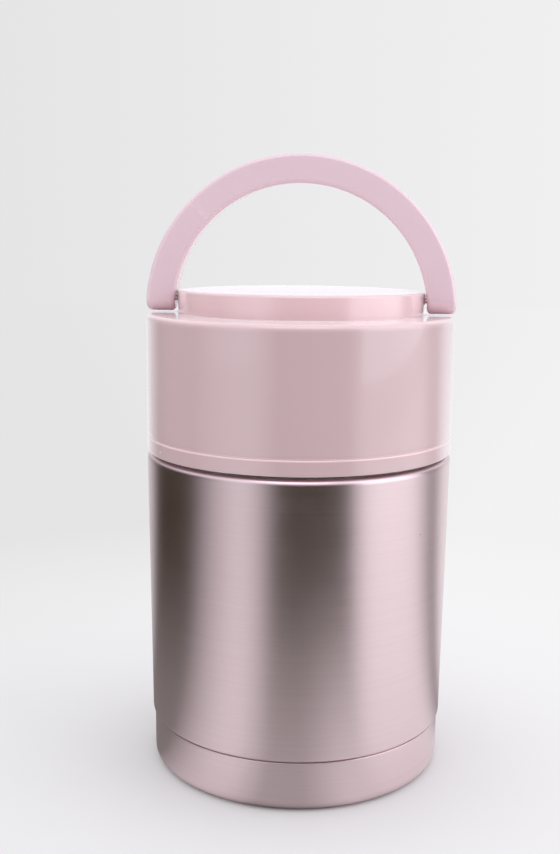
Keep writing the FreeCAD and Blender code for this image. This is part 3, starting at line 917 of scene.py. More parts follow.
@dataclass
class SteelBody:
    """Double-walled steel body: outer wall with its neck, inner vessel, base cup and what is under it."""

    palette: Palette
    steel: float = 0.8
    body_taper: float = 1.3
    curl_depth: float = 1.7
    curl_level: float = 18.8
    curl_round: float = 1.4
    shoulder_drop: float = 12.2
    shoulder_round: float = 2.2
    shoulder_width: float = 11.5
    neck_round: float = 1.0
    rim_width: float = 4.0
    rim_round: float = 0.35
    lid_lug_drop: float = 2.5
    stopper_lug_drop: float = 5.1
    vessel_round: float = 12.0
    flare_drop: float = 8.5
    flare_rise: float = 6.0
    flare_round: float = 3.0
    cup_round: float = 4.0
    cup_edge_round: float = 0.3
    foot_ring_width: float = 8.4
    foot_recess: float = 1.6

    def __post_init__(self) -> None:
        """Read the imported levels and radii."""
        nodes = ("outer_shell", "inner_vessel", "base_cup")
        self.shell, self.vessel, self.cup = (Span.of(node) for node in nodes)
        self.rim = self.vessel.high
        self.shoulder = self.rim - self.shoulder_drop
        self.neck = self.shell.reach - self.shoulder_width
        self.foot = self.shell.reach - self.body_taper
        self.mouth = self.neck - self.rim_width

    def outer_wall(self) -> Grid:
        """Tapered wall with a rolled foot, a rounded shoulder and a neck with lugs, as a shell.

        Returns:
            The surface in millimetres.
        """
        lugs = LugRing(self.rim - self.lid_lug_drop - LugRing.width, 0.0, 1)
        skirt, inner = self.foot - self.curl_depth, self.neck - self.steel
        top = self.rim - self.steel
        section = rounded([
            (skirt, self.shell.low),
            (skirt, self.curl_level),
            (self.foot, self.curl_level, self.curl_round),
            (self.shell.reach, self.shoulder, self.shoulder_round),
            (self.neck, self.shoulder, self.neck_round),
            *lugs.corners(self.neck),
            (self.neck, top),
            (inner, top),
            (inner, self.shoulder - self.steel),
            (self.shell.reach - self.steel, self.shoulder - self.steel, self.shoulder_round - self.steel),
            (self.foot - self.steel, self.curl_level + self.steel, self.curl_round - self.steel),
            (skirt - self.steel, self.curl_level + self.steel),
            (skirt - self.steel, self.shell.low),
        ])
        return lathe(section, bump=lugs.bump(self.neck))

    def inner_wall(self) -> Grid:
        """Vessel that holds the food, flared in to the mouth and folded over the neck.

        Returns:
            The surface in millimetres.
        """
        lugs = LugRing(self.rim - self.stopper_lug_drop - LugRing.width, 0.0, -1)
        outer, low = self.vessel.reach, self.vessel.low
        flare = self.shoulder - self.flare_drop
        run = outer - self.steel - self.mouth
        lean = self.steel * (math.hypot(run, self.flare_rise) - self.flare_rise) / run
        section = rounded([
            (0, low + self.steel),
            (outer - self.steel, low + self.steel, self.vessel_round - self.steel),
            (outer - self.steel, flare, self.flare_round),
            (self.mouth, flare + self.flare_rise, self.flare_round + self.steel),
            *lugs.corners(self.mouth),
            (self.mouth, self.rim, self.rim_round),
            (self.neck, self.rim, self.rim_round),
            (self.neck, self.rim - self.steel),
            (self.mouth + self.steel, self.rim - self.steel),
            (self.mouth + self.steel, flare + self.flare_rise + lean, self.flare_round),
            (outer, flare + lean, self.flare_round + self.steel),
            (outer, low, self.vessel_round),
            (0, low),
        ], closed=False)
        return lathe(section, bump=lugs.bump(self.mouth))

    def base_cup(self) -> Grid:
        """Pressed cup round the foot, with a recessed middle inside its standing ring.

        Returns:
            The surface in millimetres.
        """
        outer, top = self.cup.reach, self.cup.high
        inner, stand = outer - self.steel, outer - self.foot_ring_width
        section = rounded([
            (0, self.foot_recess),
            (stand - self.foot_recess, self.foot_recess, 0.5),
            (stand, self.cup.low, 0.5),
            (outer, self.cup.low, self.cup_round),
            (outer, top, self.cup_edge_round),
            (inner, top),
            (inner, self.steel, self.cup_round - self.steel),
            (stand + self.steel / 2, self.steel, 0.4),
            (stand - self.foot_recess + self.steel / 2, self.foot_recess + self.steel, 0.4),
            (0, self.foot_recess + self.steel),
        ], closed=False)
        return lathe(section)

    def build(self) -> None:
        """Make the body's pieces and dress the nodes that stay."""
        look = self.palette
        add_piece("body_wall", self.outer_wall(), "jar", look.rose_steel, "outer_shell")
        add_piece("food_vessel", self.inner_wall(), "jar", look.plain_steel, "inner_vessel")
        add_piece("foot_cup", self.base_cup(), "jar", look.rose_steel, "base_cup")
        dress(look.plain_steel, "outer_bottom", "getter")
        dress(look.glass, "vacuum_seal")


@dataclass
class InsulatedLid:
    """Tall lid: cover with its crowned platform, liner with its visible ring, foam and gasket."""

    palette: Palette
    wall: float = 2.4
    ledge_rise: float = 50.8
    edge_round: float = 1.8
    inner_round: float = 1.2
    platform_crown: float = 1.1
    platform_round: float = 1.0
    platform_root: float = 0.35
    platform_gap: float = 0.5
    boss_radius: float = 2.3
    boss_gap: float = 0.2
    boss_root: float = 3.0
    flat_gap: float = 1.2
    handle_thickness: float = 10.8
    ring_round: float = 0.6
    trim_gap: float = 0.05
    trim_round: float = 0.45
    trim_depth: float = 0.5
    foot_curl: float = 0.15
    foot_rise: float = 0.3
    curl_rise: float = 1.5
    lip_height: float = 3.0
    lip_gap: float = 0.1
    lip_wall: float = 1.6
    liner_wall: float = 2.0
    liner_round: float = 3.0
    stopper_gap: float = 2.2
    lug_drop: float = 5.3
    groove_depth: float = 1.0
    seal_gap: float = 0.3
    seal_width: float = 3.2
    foam_gap: float = 0.3
    foam_top: float = 2.5
    foam_round: float = 1.0

    def __post_init__(self) -> None:
        """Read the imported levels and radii."""
        self.cover, self.liner = Span.of("lid_cover"), Span.of("lid_liner")
        self.seal, self.foam, self.arch = (Span.of(n) for n in ("lid_gasket", "lid_foam", "handle"))
        self.rim = Span.of("inner_vessel").high
        self.ledge = self.liner.low + self.ledge_rise
        self.ceiling = self.ledge - self.wall
        self.bore = self.arch.reach - self.handle_thickness
        self.cup_bore = Span.of("stopper_plug").reach + self.stopper_gap

    def outline_radius(self, angle: np.ndarray, inset: float) -> np.ndarray:
        """Distance from the axis to the platform's outline, drawn in by an inset.

        The outline is two arcs of the arch's inner radius less a gap, each with its centre half
        a handle's depth past the axis, cut by a flat at each end. Along the direction (c, s) an
        arc is met at -k|s| + sqrt(k^2 s^2 - k^2 + r^2) and a flat at f / |c|; the nearer counts.

        Args:
            angle: the direction's angle about Z.
            inset: how far in; below zero it is further out.

        Returns:
            The radius at each angle.
        """
        offset = self.arch.depth
        radius = self.bore - self.platform_gap - inset
        flat = self.bore - self.flat_gap - inset
        cosine, sine = np.abs(np.cos(angle)), np.abs(np.sin(angle))
        curved = np.sqrt((offset * sine) ** 2 - offset ** 2 + radius ** 2) - offset * sine
        return np.minimum(curved, flat / np.maximum(cosine, 1e-6))

    def crown_level(self, radius: np.ndarray) -> np.ndarray:
        """Level of the shallow dome: its top less the rise of a circle of the dome's radius.

        Args:
            radius: distance from the axis.

        Returns:
            The level at each radius.
        """
        end = self.bore - self.flat_gap + self.platform_round
        dome = (end ** 2 + self.platform_crown ** 2) / (2 * self.platform_crown)
        return self.cover.high - dome + np.sqrt(dome ** 2 - radius ** 2)

    def cover_shell(self) -> Grid:
        """Outer wall, ledge, platform and crown as one skin, closed by the inner wall and ceiling.

        Rows run from the middle of the ceiling, down the inner wall, up the outer one, over the
        ledge, up the platform's wall and in along the dome. A row's radius may follow the
        platform's outline, so the grid is round below and lens-shaped above.

        Returns:
            The surface in millimetres.
        """
        angle = even_angles(TURN_COLUMNS + 64)
        outer, low = self.cover.reach, self.cover.low
        inner, curled = outer - self.wall, outer - self.foot_curl
        rows = list(rounded([
            (0, self.ceiling),
            (inner, self.ceiling, self.inner_round),
            (inner, low),
            (curled, low, 0.1),
            (curled, low + self.foot_rise, 0.2),
            (outer, low + self.curl_rise, 1.0),
            (outer, self.ledge, self.edge_round),
            (self.bore, self.ledge),
        ], closed=False)[:-2])
        turn = [(math.sin(step), math.cos(step)) for step in np.linspace(0, math.pi / 2, ARC_STEPS)]
        brim, root = rows[-1][0], self.outline_radius(angle, -self.platform_root)
        rows += [(brim + (root - brim) * share, self.ledge) for share in LEDGE_SHARES]
        rows += [(self.outline_radius(angle, -self.platform_root * (1 - sine)),
                  self.ledge + self.platform_root * (1 - cosine)) for sine, cosine in turn]
        brink = self.outline_radius(angle, self.platform_round)
        edge = self.crown_level(brink) - self.platform_round
        wall = self.outline_radius(angle, 0.0)
        rows += [(wall, self.ledge + self.platform_root + height) for height in WALL_HEIGHTS]
        rows += [(wall, edge - SUPPORT_RUN)]
        rows += [(self.outline_radius(angle, self.platform_round * (1 - cosine)),
                  edge + self.platform_round * sine) for sine, cosine in turn]
        rows += [(brink * share, self.crown_level(brink * share)) for share in CROWN_SHARES]
        table = np.array([[np.broadcast_to(value, angle.shape) for value in row] for row in rows])
        radius, level = table[:, 0], table[:, 1]
        return np.stack([radius * np.cos(angle), radius * np.sin(angle), level], -1)

    def liner_cup(self) -> Grid:
        """Inner cup with lugs in its bore; its foot is the visible ring under the trim line.

        Returns:
            The surface in millimetres.
        """
        low, top, reach = self.liner.low, self.liner.high, self.liner.reach
        ring_top = self.cover.low - self.trim_gap
        lugs = LugRing(self.rim - self.lug_drop - LugRing.width, 180.0, -1)
        bore, outer = self.cup_bore, self.cup_bore + self.liner_wall
        floor, lip = low + self.liner_wall, self.cover.reach - self.wall - self.lip_gap
        groove_out = self.seal.reach + self.seal_gap
        groove_in = self.seal.reach - self.seal_width - self.seal_gap
        trim = reach - self.trim_depth
        lip_top = ring_top + self.lip_height
        section = rounded([
            (bore, low, 0.4),
            (groove_in, low),
            (groove_in, low + self.groove_depth),
            (groove_out, low + self.groove_depth),
            (groove_out, low),
            (reach, low, self.ring_round),
            (reach, ring_top, self.trim_round),
            (trim, ring_top, 0.05),
            (trim, self.cover.low - 0.05, 0.05),
            (lip, self.cover.low - 0.05, 0.05),
            (lip, lip_top),
            (lip - self.lip_wall, lip_top),
            (lip - self.lip_wall, floor),
            (outer, floor),
            (outer, top, self.liner_round),
            (0, top),
            (0, top - self.liner_wall),
            (bore, top - self.liner_wall, self.liner_round),
            *lugs.corners(bore, upwards=False),
        ])
        return lathe(section, bump=lugs.bump(bore))

    def pivot_boss(self, side: int) -> Grid:
        """Domed boss round a pivot pin, on the flat end of the platform.

        Its face keeps a gap to the bail's inner face as that swings: at radius r from the hinge
        line the face lies at x = sqrt(R^2 - (k + r)^2) - gap, with R the bail's inner radius and
        k the height of the hinge above the bail's centre.

        Args:
            side: -1 for the left boss and 1 for the right.

        Returns:
            The surface in millimetres.
        """
        pin = Span.of("pivot_pin_right")
        radius = np.append(np.linspace(0, self.boss_radius - 0.3, 5), [self.boss_radius, self.boss_radius])
        face = np.sqrt(self.bore ** 2 - (self.arch.depth + radius) ** 2) - self.boss_gap
        face[-2:] = face[-3] - np.array([0.3, self.boss_root])
        radius, face = np.append(radius, 0.0)[:, None], np.append(face, face[-1])[:, None]
        angle = even_angles(64)[None, :]
        level = (pin.low + pin.high) / 2 + radius * np.sin(angle)
        return np.stack(np.broadcast_arrays(side * face, radius * np.cos(angle), level), -1)

    def foam_cap(self) -> Grid:
        """Foam that fills the space between cover and liner.

        Returns:
            The surface in millimetres.
        """
        bore = self.cup_bore + self.liner_wall + self.foam_gap
        section = rounded([
            (bore, self.foam.low, 0.5),
            (self.foam.reach, self.foam.low, 0.5),
            (self.foam.reach, self.foam.high, self.foam_round),
            (0, self.foam.high),
            (0, self.foam.high - self.foam_top),
            (bore, self.foam.high - self.foam_top, 0.5),
        ])
        return lathe(section)

    def build(self) -> None:
        """Make the lid's pieces; the gasket is a flat ring that rests on the shoulder."""
        look, seal = self.palette, self.seal
        add_piece("lid_top", self.cover_shell(), "lid", look.lid_pink, "lid_cover")
        for label, side in (("left", -1), ("right", 1)):
            add_piece(f"pivot_boss_{label}", self.pivot_boss(side), "lid", look.lid_pink)
        add_piece("lid_inner_cup", self.liner_cup(), "lid", look.lid_pink, "lid_liner")
        add_piece("lid_insulation", self.foam_cap(), "lid", look.foam, "lid_foam")
        gasket = ring(seal.reach - self.seal_width, seal, 0.3)
        add_piece("lid_seal", gasket, "lid_ring", look.silicone, "lid_gasket")


@dataclass
class BailHandle:
    """Half-circle bail on two steel pins."""

    palette: Palette
    thickness: float = 10.8
    edge_round: float = 1.5
    end_columns: int = 24
    arch_columns: int = 160
    held_degrees: float = 8.0
    freed_degrees: float = 30.0

    def __post_init__(self) -> None:
        """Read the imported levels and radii."""
        self.arch, self.pin = Span.of("handle"), Span.of("pivot_pin_right")
        self.inner = self.arch.reach - self.thickness
        self.half = self.arch.depth
        self.pivot = (self.pin.low + self.pin.high) / 2
        self.spring = self.arch.high - self.arch.reach

    def loop(self) -> tuple[np.ndarray, np.ndarray, np.ndarray]:
        """One way round the handle's side as it would lie unrolled: a straight strip with round ends.

        Returns:
            The arch angle of the middle line, the way out from it along the arch and the way
            out across it, both as parts of the half depth.
        """
        mean = self.inner + self.thickness / 2
        first = math.asin((self.pivot - self.spring) / mean)
        straight = np.linspace(first, math.pi - first, self.arch_columns)
        swing = np.linspace(math.pi / 2, -math.pi / 2, self.end_columns)[1:-1]
        middle = np.concatenate([straight, np.full(swing.size, math.pi - first), straight[::-1],
                                 np.full(swing.size, first), straight[:1]])
        along = np.concatenate([0 * straight, np.cos(swing), 0 * straight, -np.cos(swing), [0.0]])
        across = np.concatenate([0 * straight - 1, -np.sin(swing), 0 * straight + 1, np.sin(swing), [-1.0]])
        return middle, along, across

    def surface(self) -> Grid:
        """The handle's skin, from the middle of its inner face to the middle of its outer face.

        Each row is the unrolled loop drawn in by an inset and set at an arch radius. On the two
        faces the rows shrink on to the middle line; at the four edges the inset is
        r(1 - cos a) and the radius moves by r sin a. A point at arch angle p and radius q lies
        at x = q cos p, z = spring level + q sin p. Near the ends the level is held instead of
        the angle, so that the round ends stay round about the hinge line.

        Returns:
            The surface in millimetres.
        """
        middle, along, across = self.loop()
        mean, r = self.inner + self.thickness / 2, self.edge_round
        turn = np.linspace(0, math.pi / 2, ARC_STEPS + 1)
        face = np.array([0.0, 0.35, 0.7, 0.95])
        faces = (self.half - r) * face
        arcs = self.half - r + r * np.sin(turn)
        walls = np.array([self.half, self.half])
        width = np.concatenate([faces, arcs, walls, arcs[::-1], faces[::-1]])
        low = self.inner + r - r * np.cos(turn)
        high = self.arch.reach - r + r * np.cos(turn[::-1])
        support = np.array([self.inner + r + SUPPORT_RUN, self.arch.reach - r - SUPPORT_RUN])
        radius = np.concatenate([np.full(face.size, self.inner), low, support, high,
                                 np.full(face.size, self.arch.reach)])
        width, radius = width[:, None], radius[:, None]
        level = mean * np.sin(middle) + width * -np.abs(along)
        flat_angle = np.arcsin(np.clip(level / radius, -1, 1))
        flat_angle = np.where(middle > math.pi / 2, math.pi - flat_angle, flat_angle)
        rise = np.minimum(middle, math.pi - middle)
        share = np.clip((np.degrees(rise) - self.held_degrees) / self.freed_degrees, 0, 1)
        share = share * share * (3 - 2 * share)
        angle = flat_angle * (1 - share) + middle * share
        return np.stack(np.broadcast_arrays(radius * np.cos(angle), width * across,
                                            self.spring + radius * np.sin(angle)), -1)

    def build(self) -> None:
        """Make the handle and dress its pins."""
        add_piece("bail_arch", self.surface(), "bail", self.palette.bail_pink, "handle")
        dress(self.palette.plain_steel, "pivot_pin_left", "pivot_pin_right")


@dataclass
class Stopper:
    """Inner stopper: plug with lugs, cap with a grip edge, foam and gasket."""

    palette: Palette
    wall: float = 2.0
    neck_inset: float = 0.4
    rim_width: float = 4.0
    lug_height: float = 1.3
    lug_clearance: float = 0.5
    lug_drop: float = 7.9
    plug_round: float = 2.0
    flange_height: float = 2.0
    boss_bore: float = 3.0
    boss_wall: float = 2.0
    boss_drop: float = 6.2
    cap_round: float = 1.0
    cap_rim: float = 8.6
    cap_collar: float = 4.0
    dish_depth: float = 1.4
    button_clearance: float = 0.08
    button_rise: float = 0.6
    button_travel: float = 2.5
    notch_radius: float = 1.3
    notch_count: int = 36
    foam_gap: float = 0.3

    def __post_init__(self) -> None:
        """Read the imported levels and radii."""
        self.plug, self.cap = Span.of("stopper_plug"), Span.of("stopper_cap")
        self.seal, self.button = Span.of("stopper_gasket"), Span.of("vent_button")
        self.rim = Span.of("inner_vessel").high
        mouth = self.plug.reach + self.neck_inset - self.rim_width
        self.radius = mouth - self.lug_height - self.lug_clearance
        self.boss = self.boss_bore + self.boss_wall

    def plug_cup(self) -> Grid:
        """Plug with a flange, lugs and a bored boss for the vent's stem.

        Returns:
            The surface in millimetres.
        """
        lugs = LugRing(self.rim - self.lug_drop - LugRing.width, 180.0, 1)
        floor = self.plug.low + self.wall
        flange = self.plug.high - self.flange_height
        section = rounded([
            (self.boss_bore, self.plug.low),
            (self.radius, self.plug.low, self.plug_round),
            *lugs.corners(self.radius),
            (self.radius, flange),
            (self.plug.reach, flange, 0.3),
            (self.plug.reach, self.plug.high, 0.1),
            (self.radius - self.wall, self.plug.high),
            (self.radius - self.wall, floor, 0.5),
            (self.boss, floor, 0.5),
            (self.boss, self.plug.high - self.boss_drop),
            (self.boss_bore, self.plug.high - self.boss_drop),
        ])
        return lathe(section, bump=lugs.bump(self.radius))

    def cap_disc(self) -> Grid:
        """Cap with a dished ring, and notches for the fingers round its edge.

        A notch is a circle whose centre lies half its radius outside the edge; along the angle
        d from its middle it is met at c cos(d) - sqrt(r^2 - c^2 sin^2(d)).

        Returns:
            The surface in millimetres.
        """
        pitch = 360.0 / self.notch_count
        near = np.array(NOTCH_DEGREES)
        near = np.concatenate([-near[::-1], near])
        angles = np.radians((np.arange(self.notch_count)[:, None] * pitch + near).ravel())
        angles = np.append(angles, angles[0] + 2 * math.pi)
        edge, low, top = self.cap.reach, self.cap.low, self.cap.high
        hole = self.button.reach + self.button_clearance
        outer, inner = edge - self.cap_rim, self.button.reach + self.cap_collar
        section = rounded([
            (hole, low),
            (edge, low, 0.1),
            (edge, top, self.cap_round),
            (outer, top, 0.4),
            (outer - self.dish_depth, top - self.dish_depth, 0.5),
            (inner + self.dish_depth, top - self.dish_depth, 0.5),
            (inner, top, 0.4),
            (hole, top, 0.3),
        ])
        centre = edge + self.notch_radius / 2

        def notch(angle: np.ndarray, radius: np.ndarray, level: np.ndarray) -> np.ndarray:
            """Radius lost in the notches, for points near the edge.

            Args:
                angle: each point's angle about Z.
                radius: its radius.
                level: its level; not used.

            Returns:
                The depth of the notch there, below zero.
            """
            off = np.radians((np.degrees(angle) + pitch / 2) % pitch - pitch / 2)
            room = self.notch_radius ** 2 - (centre * np.sin(off)) ** 2
            met = centre * np.cos(off) - np.sqrt(np.maximum(room, 0.0))
            depth = np.where(room > 0, np.maximum(edge - met, 0.0), 0.0)
            return -depth * np.clip((radius - edge + 2 * self.cap_round) / self.cap_round, 0, 1)
        return lathe(section, angles, notch)

    def foam_ring(self) -> Grid:
        """Foam inside the plug, with a well under the button.

        Returns:
            The surface in millimetres.
        """
        inner, outer = self.boss + self.foam_gap, self.radius - self.wall - self.foam_gap
        low, top = self.plug.low + self.wall + self.foam_gap, self.plug.high - self.foam_gap
        well = self.plug.high + self.button_rise - self.button_travel - self.foam_gap
        well_radius = self.button.reach + 2 * self.foam_gap
        return lathe(rounded([
            (inner, low, 0.4), (outer, low, 0.4), (outer, top, 0.4),
            (well_radius, top, 0.3), (well_radius, well, 0.3), (inner, well, 0.3),
        ]))

    def build(self) -> None:
        """Make the stopper's pieces; the gasket is a flat ring between the rim and the flange."""
        look = self.palette
        add_piece("stopper_body", self.plug_cup(), "stopper", look.white_plastic, "stopper_plug")
        add_piece("stopper_top", self.cap_disc(), "stopper", look.white_plastic, "stopper_cap")
        add_piece("stopper_insulation", self.foam_ring(), "stopper", look.foam, "stopper_foam")
        gasket = ring(self.radius + self.foam_gap, self.seal, 0.4)
        add_piece("stopper_seal", gasket, "stopper_ring", look.silicone, "stopper_gasket")


@dataclass
class PressureVent:
    """Sprung button on a stem with a seal and a washer under the plug."""

    palette: Palette
    button_round: float = 1.0
    dish_radius: float = 7.0
    dish_depth: float = 0.5
    pocket_radius: float = 5.6
    pocket_depth: float = 2.7
    stem_grip: float = 1.6
    columns: int = 96

    def build(self) -> None:
        """Make the vent's turned pieces and dress its spring."""
        button, stem = Span.of("vent_button"), Span.of("vent_stem")
        seal, washer = Span.of("vent_seal"), Span.of("vent_washer")
        ceiling = button.low + self.pocket_depth
        press = rounded([
            (self.pocket_radius, button.low),
            (button.reach, button.low),
            (button.reach, button.high, self.button_round),
            (self.dish_radius, button.high, 1.5),
            (self.dish_radius - 2.0, button.high - self.dish_depth, 2.0),
            (0, button.high - self.dish_depth),
            (0, ceiling + self.stem_grip),
            (stem.reach, ceiling + self.stem_grip),
            (stem.reach, ceiling),
            (self.pocket_radius, ceiling),
        ])
        rod = rounded([
            (0, stem.low),
            (stem.reach, stem.low, 0.3),
            (stem.reach, stem.high, 0.2),
            (0, stem.high),
        ], closed=False)
        disc = rounded([
            (stem.reach, seal.low, 0.3),
            (seal.reach, seal.low, 0.3),
            (seal.reach, seal.high, 0.3),
            (stem.reach, seal.high),
        ])
        plate = rounded([
            (stem.reach, washer.low),
            (washer.reach, washer.low, 0.3),
            (washer.reach, washer.high, 0.2),
            (stem.reach, washer.high),
        ])
        look = self.palette
        angles = even_angles(self.columns)
        for name, section, finish, node in (
                ("vent_press_button", press, look.lid_pink, "vent_button"),
                ("vent_rod", rod, look.plain_steel, "vent_stem"),
                ("vent_sealing_disc", disc, look.silicone, "vent_seal"),
                ("vent_backing_washer", plate, look.white_plastic, "vent_washer")):
            add_piece(name, lathe(section, angles), "vent", finish, node)
        dress(look.plain_steel, "vent_spring")


@dataclass(frozen=True)
class Softbox:
    """A lamp, given by the two ends of its low edge and its height, in metres.

    It leans by an angle from upright, and its light dies away over a share of its width at each end.
    """

    name: str
    start: Colour
    end: Colour
    height: float
    lean: float
    radiance: float
    fades: tuple[float, float] = (0.02, 0.02)
    tint: Colour = (1.0, 0.98, 1.05)

    def fade(self, data: bpy.types.Light) -> None:
        """Let the light die away at both ends.

        Args:
            data: the lamp's light.
        """
        data.use_nodes = True
        wiring = Wiring(data.node_tree)
        across = wiring.split(wiring.add("ShaderNodeNewGeometry").outputs["Parametric"])["X"]
        first, last = self.fades
        strength = wiring.product(wiring.ramp(across, 0.0, first), wiring.ramp(across, 1.0, 1.0 - last))
        wiring.link(strength, wiring.find("EMISSION").inputs["Strength"])

    def build(self) -> None:
        """Hang the lamp so that it faces the jar: its width runs along the low edge."""
        start, end = Vector(self.start), Vector(self.end)
        along = (end - start).normalized()
        out = Vector((along.y, -along.x, 0)).normalized()
        if out.dot(start) > 0:
            out = -out
        up = (Vector((0, 0, 1)) * math.cos(self.lean) - out * math.sin(self.lean)).normalized()
        width = (end - start).length
        facing = along.cross(up)
        if facing.dot(start + end) < 0:
            along, facing = -along, -facing
        data = bpy.data.lights.new(self.name, "AREA")
        data.shape, data.size, data.size_y = "RECTANGLE", width, self.height
        data.color = self.tint
        data.energy = self.radiance * math.pi * width * self.height
        self.fade(data)
        lamp = bpy.data.objects.new(self.name, data)
        lamp.matrix_world = Matrix.Translation((start + end) / 2 + up * self.height / 2) @ Matrix(
            (along, up, facing)).transposed().to_4x4()
        lamp.visible_camera = False
        bpy.context.scene.collection.objects.link(lamp)
        log.info("%s: lamp of %.2f by %.2f m", self.name, width, self.height)


@dataclass(frozen=True)
class GloomySide:
    """A side of the room that reflects dark, between two azimuths in degrees, with soft ends."""

    start: float
    end: float
    rise: float
    fall: float
    depth: float


def around(azimuth: float, distance: float, level: float = 0.0) -> Colour:
    """A point at an azimuth in degrees from the camera's side, positive to the right, in metres."""
    angle = math.radians(azimuth + RIG_TURN)
    return (distance * math.sin(angle), -distance * math.cos(angle), level)


@dataclass
class Studio:
    """Camera, lamps, floor, backdrop and the room that gloss reflects."""

    image_width: int = 560
    image_height: int = 854
    focal_pixels: float = 1121.3
    sensor: float = 36.0
    distance: float = 0.4228
    height: float = 0.2005
    pitch: float = 0.1683
    yaw: float = -0.0170
    roll: float = -0.0087
    floor_radii: tuple[float, ...] = (0.0, 0.25, 0.6, 1.2, 2.0, 3.0)
    backdrop_left: Colour = (0.78, 0.78, 0.78)
    backdrop_right: Colour = (0.89, 0.89, 0.89)
    sheet: Colour = (0.69, 0.69, 0.69)
    sheet_shade: Colour = (0.705, 0.705, 0.705)
    sheet_fade: tuple[float, float] = (0.07, 0.36)
    room_dark: Colour = (0.026, 0.018, 0.003)
    room_pale: Colour = (0.86, 0.83, 0.90)
    gloom_fade: tuple[float, float] = (0.05, 0.30)
    gloom_ceiling: tuple[float, float] = (0.55, 0.25)
    fill_front: Colour = (0.56, 0.56, 0.565)
    fill_back: Colour = (1.35, 1.35, 1.37)
    fill_side: Colour = (1.75, 1.75, 1.77)
    sides: tuple[GloomySide, ...] = (
        GloomySide(-30.0, 43.0, 15.0, 8.0, 1.0),
        GloomySide(-142.0, -50.0, 18.0, 30.0, 1.0),
        GloomySide(-70.0, -18.0, 8.0, 12.0, 0.38),
        GloomySide(97.0, 128.0, 12.0, 10.0, 0.85),
    )
    lamps: tuple[Softbox, ...] = (
        Softbox("right_softbox", around(42, 0.75, 0.062), around(106, 1.7, 0.062), 1.1, 0.0, 0.78,
                (0.03, 0.32)),
        Softbox("left_softbox", around(-76, 1.0, 0.06), around(-22, 1.0, 0.06), 1.0, 0.0, 0.3,
                (0.45, 0.3)),
        Softbox("top_softbox", (-0.6, -0.4, 1.4), (0.6, -0.4, 1.4), 1.0, math.radians(90), 1.0),
    )

    def camera(self) -> None:
        """Stand the camera as in the photograph: a rig turned about Z, then yaw, pitch and roll."""
        level = math.cos(self.pitch)
        forward = np.array([math.sin(self.yaw) * level, math.cos(self.yaw) * level, -math.sin(self.pitch)])
        right = np.array([math.cos(self.yaw), -math.sin(self.yaw), 0.0])
        down = np.cross(forward, right)
        across = math.cos(self.roll) * right + math.sin(self.roll) * down
        below = -math.sin(self.roll) * right + math.cos(self.roll) * down
        axes = Matrix((across.tolist(), (-below).tolist(), (-forward).tolist())).transposed().to_4x4()
        rig = Matrix.Rotation(math.radians(RIG_TURN), 4, "Z")
        data = bpy.data.cameras.new("photo_camera")
        data.sensor_width = self.sensor
        data.lens = self.sensor * self.focal_pixels / max(self.image_width, self.image_height)
        data.clip_start, data.clip_end = 0.01, 30.0
        camera = bpy.data.objects.new("photo_camera", data)
        camera.matrix_world = rig @ Matrix.Translation((0, -self.distance, self.height)) @ axes
        bpy.context.scene.collection.objects.link(camera)
        bpy.context.scene.camera = camera

    def floor(self) -> None:
        """Pale floor: a level disc about the jar that the world's colour meets far away."""
        radii = np.array(self.floor_radii)[:, None]
        angle = even_angles(96)[None, :]
        x, y = radii * np.cos(angle), radii * np.sin(angle)
        points, faces = weld(np.stack([x, y, 0 * x], -1) / MM)
        mesh = bpy.data.meshes.new("floor")
        mesh.from_pydata((points * MM).tolist(), [], faces)
        mesh.materials.append(self.floor_material())
        disc = bpy.data.objects.new("floor", mesh)
        bpy.context.scene.collection.objects.link(disc)

    def floor_material(self) -> bpy.types.Material:
        """Matt pale sheet that fades into the backdrop when seen, and into the room when reflected.

        Returns:
            The material.
        """
        material, wiring, shader = start_material("pale_floor")
        wiring.set(shader, Roughness=0.9, Specular_IOR_Level=0.2)
        sheet = wiring.mix(wiring.noise((40.0, 40.0, 40.0), 3.0), self.sheet, self.sheet_shade)
        wiring.link(sheet, shader.inputs["Base Color"])
        place = wiring.place()
        away = wiring.add("ShaderNodeVectorMath", operation="LENGTH")
        wiring.link(place, away.inputs[0])
        distance = away.outputs["Value"]
        path = wiring.add("ShaderNodeLightPath").outputs
        shown = wiring.product(wiring.ramp(distance, *self.sheet_fade), path["Is Camera Ray"])
        backdrop = wiring.group(self.backdrop, Place=place)["Colour"]
        seen = self.blend(wiring, shown, shader.outputs[0], backdrop)
        room = wiring.group(self.room, Place=place)
        missed = wiring.product(wiring.math("SUBTRACT", 1.0, room["Near"]),
                                wiring.ramp(distance, *self.gloom_fade, 1.0, 0.0))
        gloom = wiring.product(wiring.math("SUBTRACT", 1.0, missed), room["Gloom"], path["Is Glossy Ray"])
        mirrored = self.blend(wiring, gloom, seen, room["Colour"])
        wiring.link(mirrored, wiring.find("OUTPUT_MATERIAL").inputs["Surface"])
        return material

    @staticmethod
    def blend(wiring: Wiring, share: Socket, shader: Socket, colour: Socket) -> Socket:
        """Blend from a shader to a plain glow of a colour.

        Args:
            wiring: the material's wiring.
            share: how much of the glow.
            shader: the shader.
            colour: the glow's colour.

        Returns:
            The blended shader.
        """
        glow = wiring.add("ShaderNodeEmission")
        wiring.link(colour, glow.inputs["Color"])
        both = wiring.add("ShaderNodeMixShader")
        for source, target in zip((share, shader, glow.outputs[0]), both.inputs):
            wiring.link(source, target)
        return both.outputs[0]

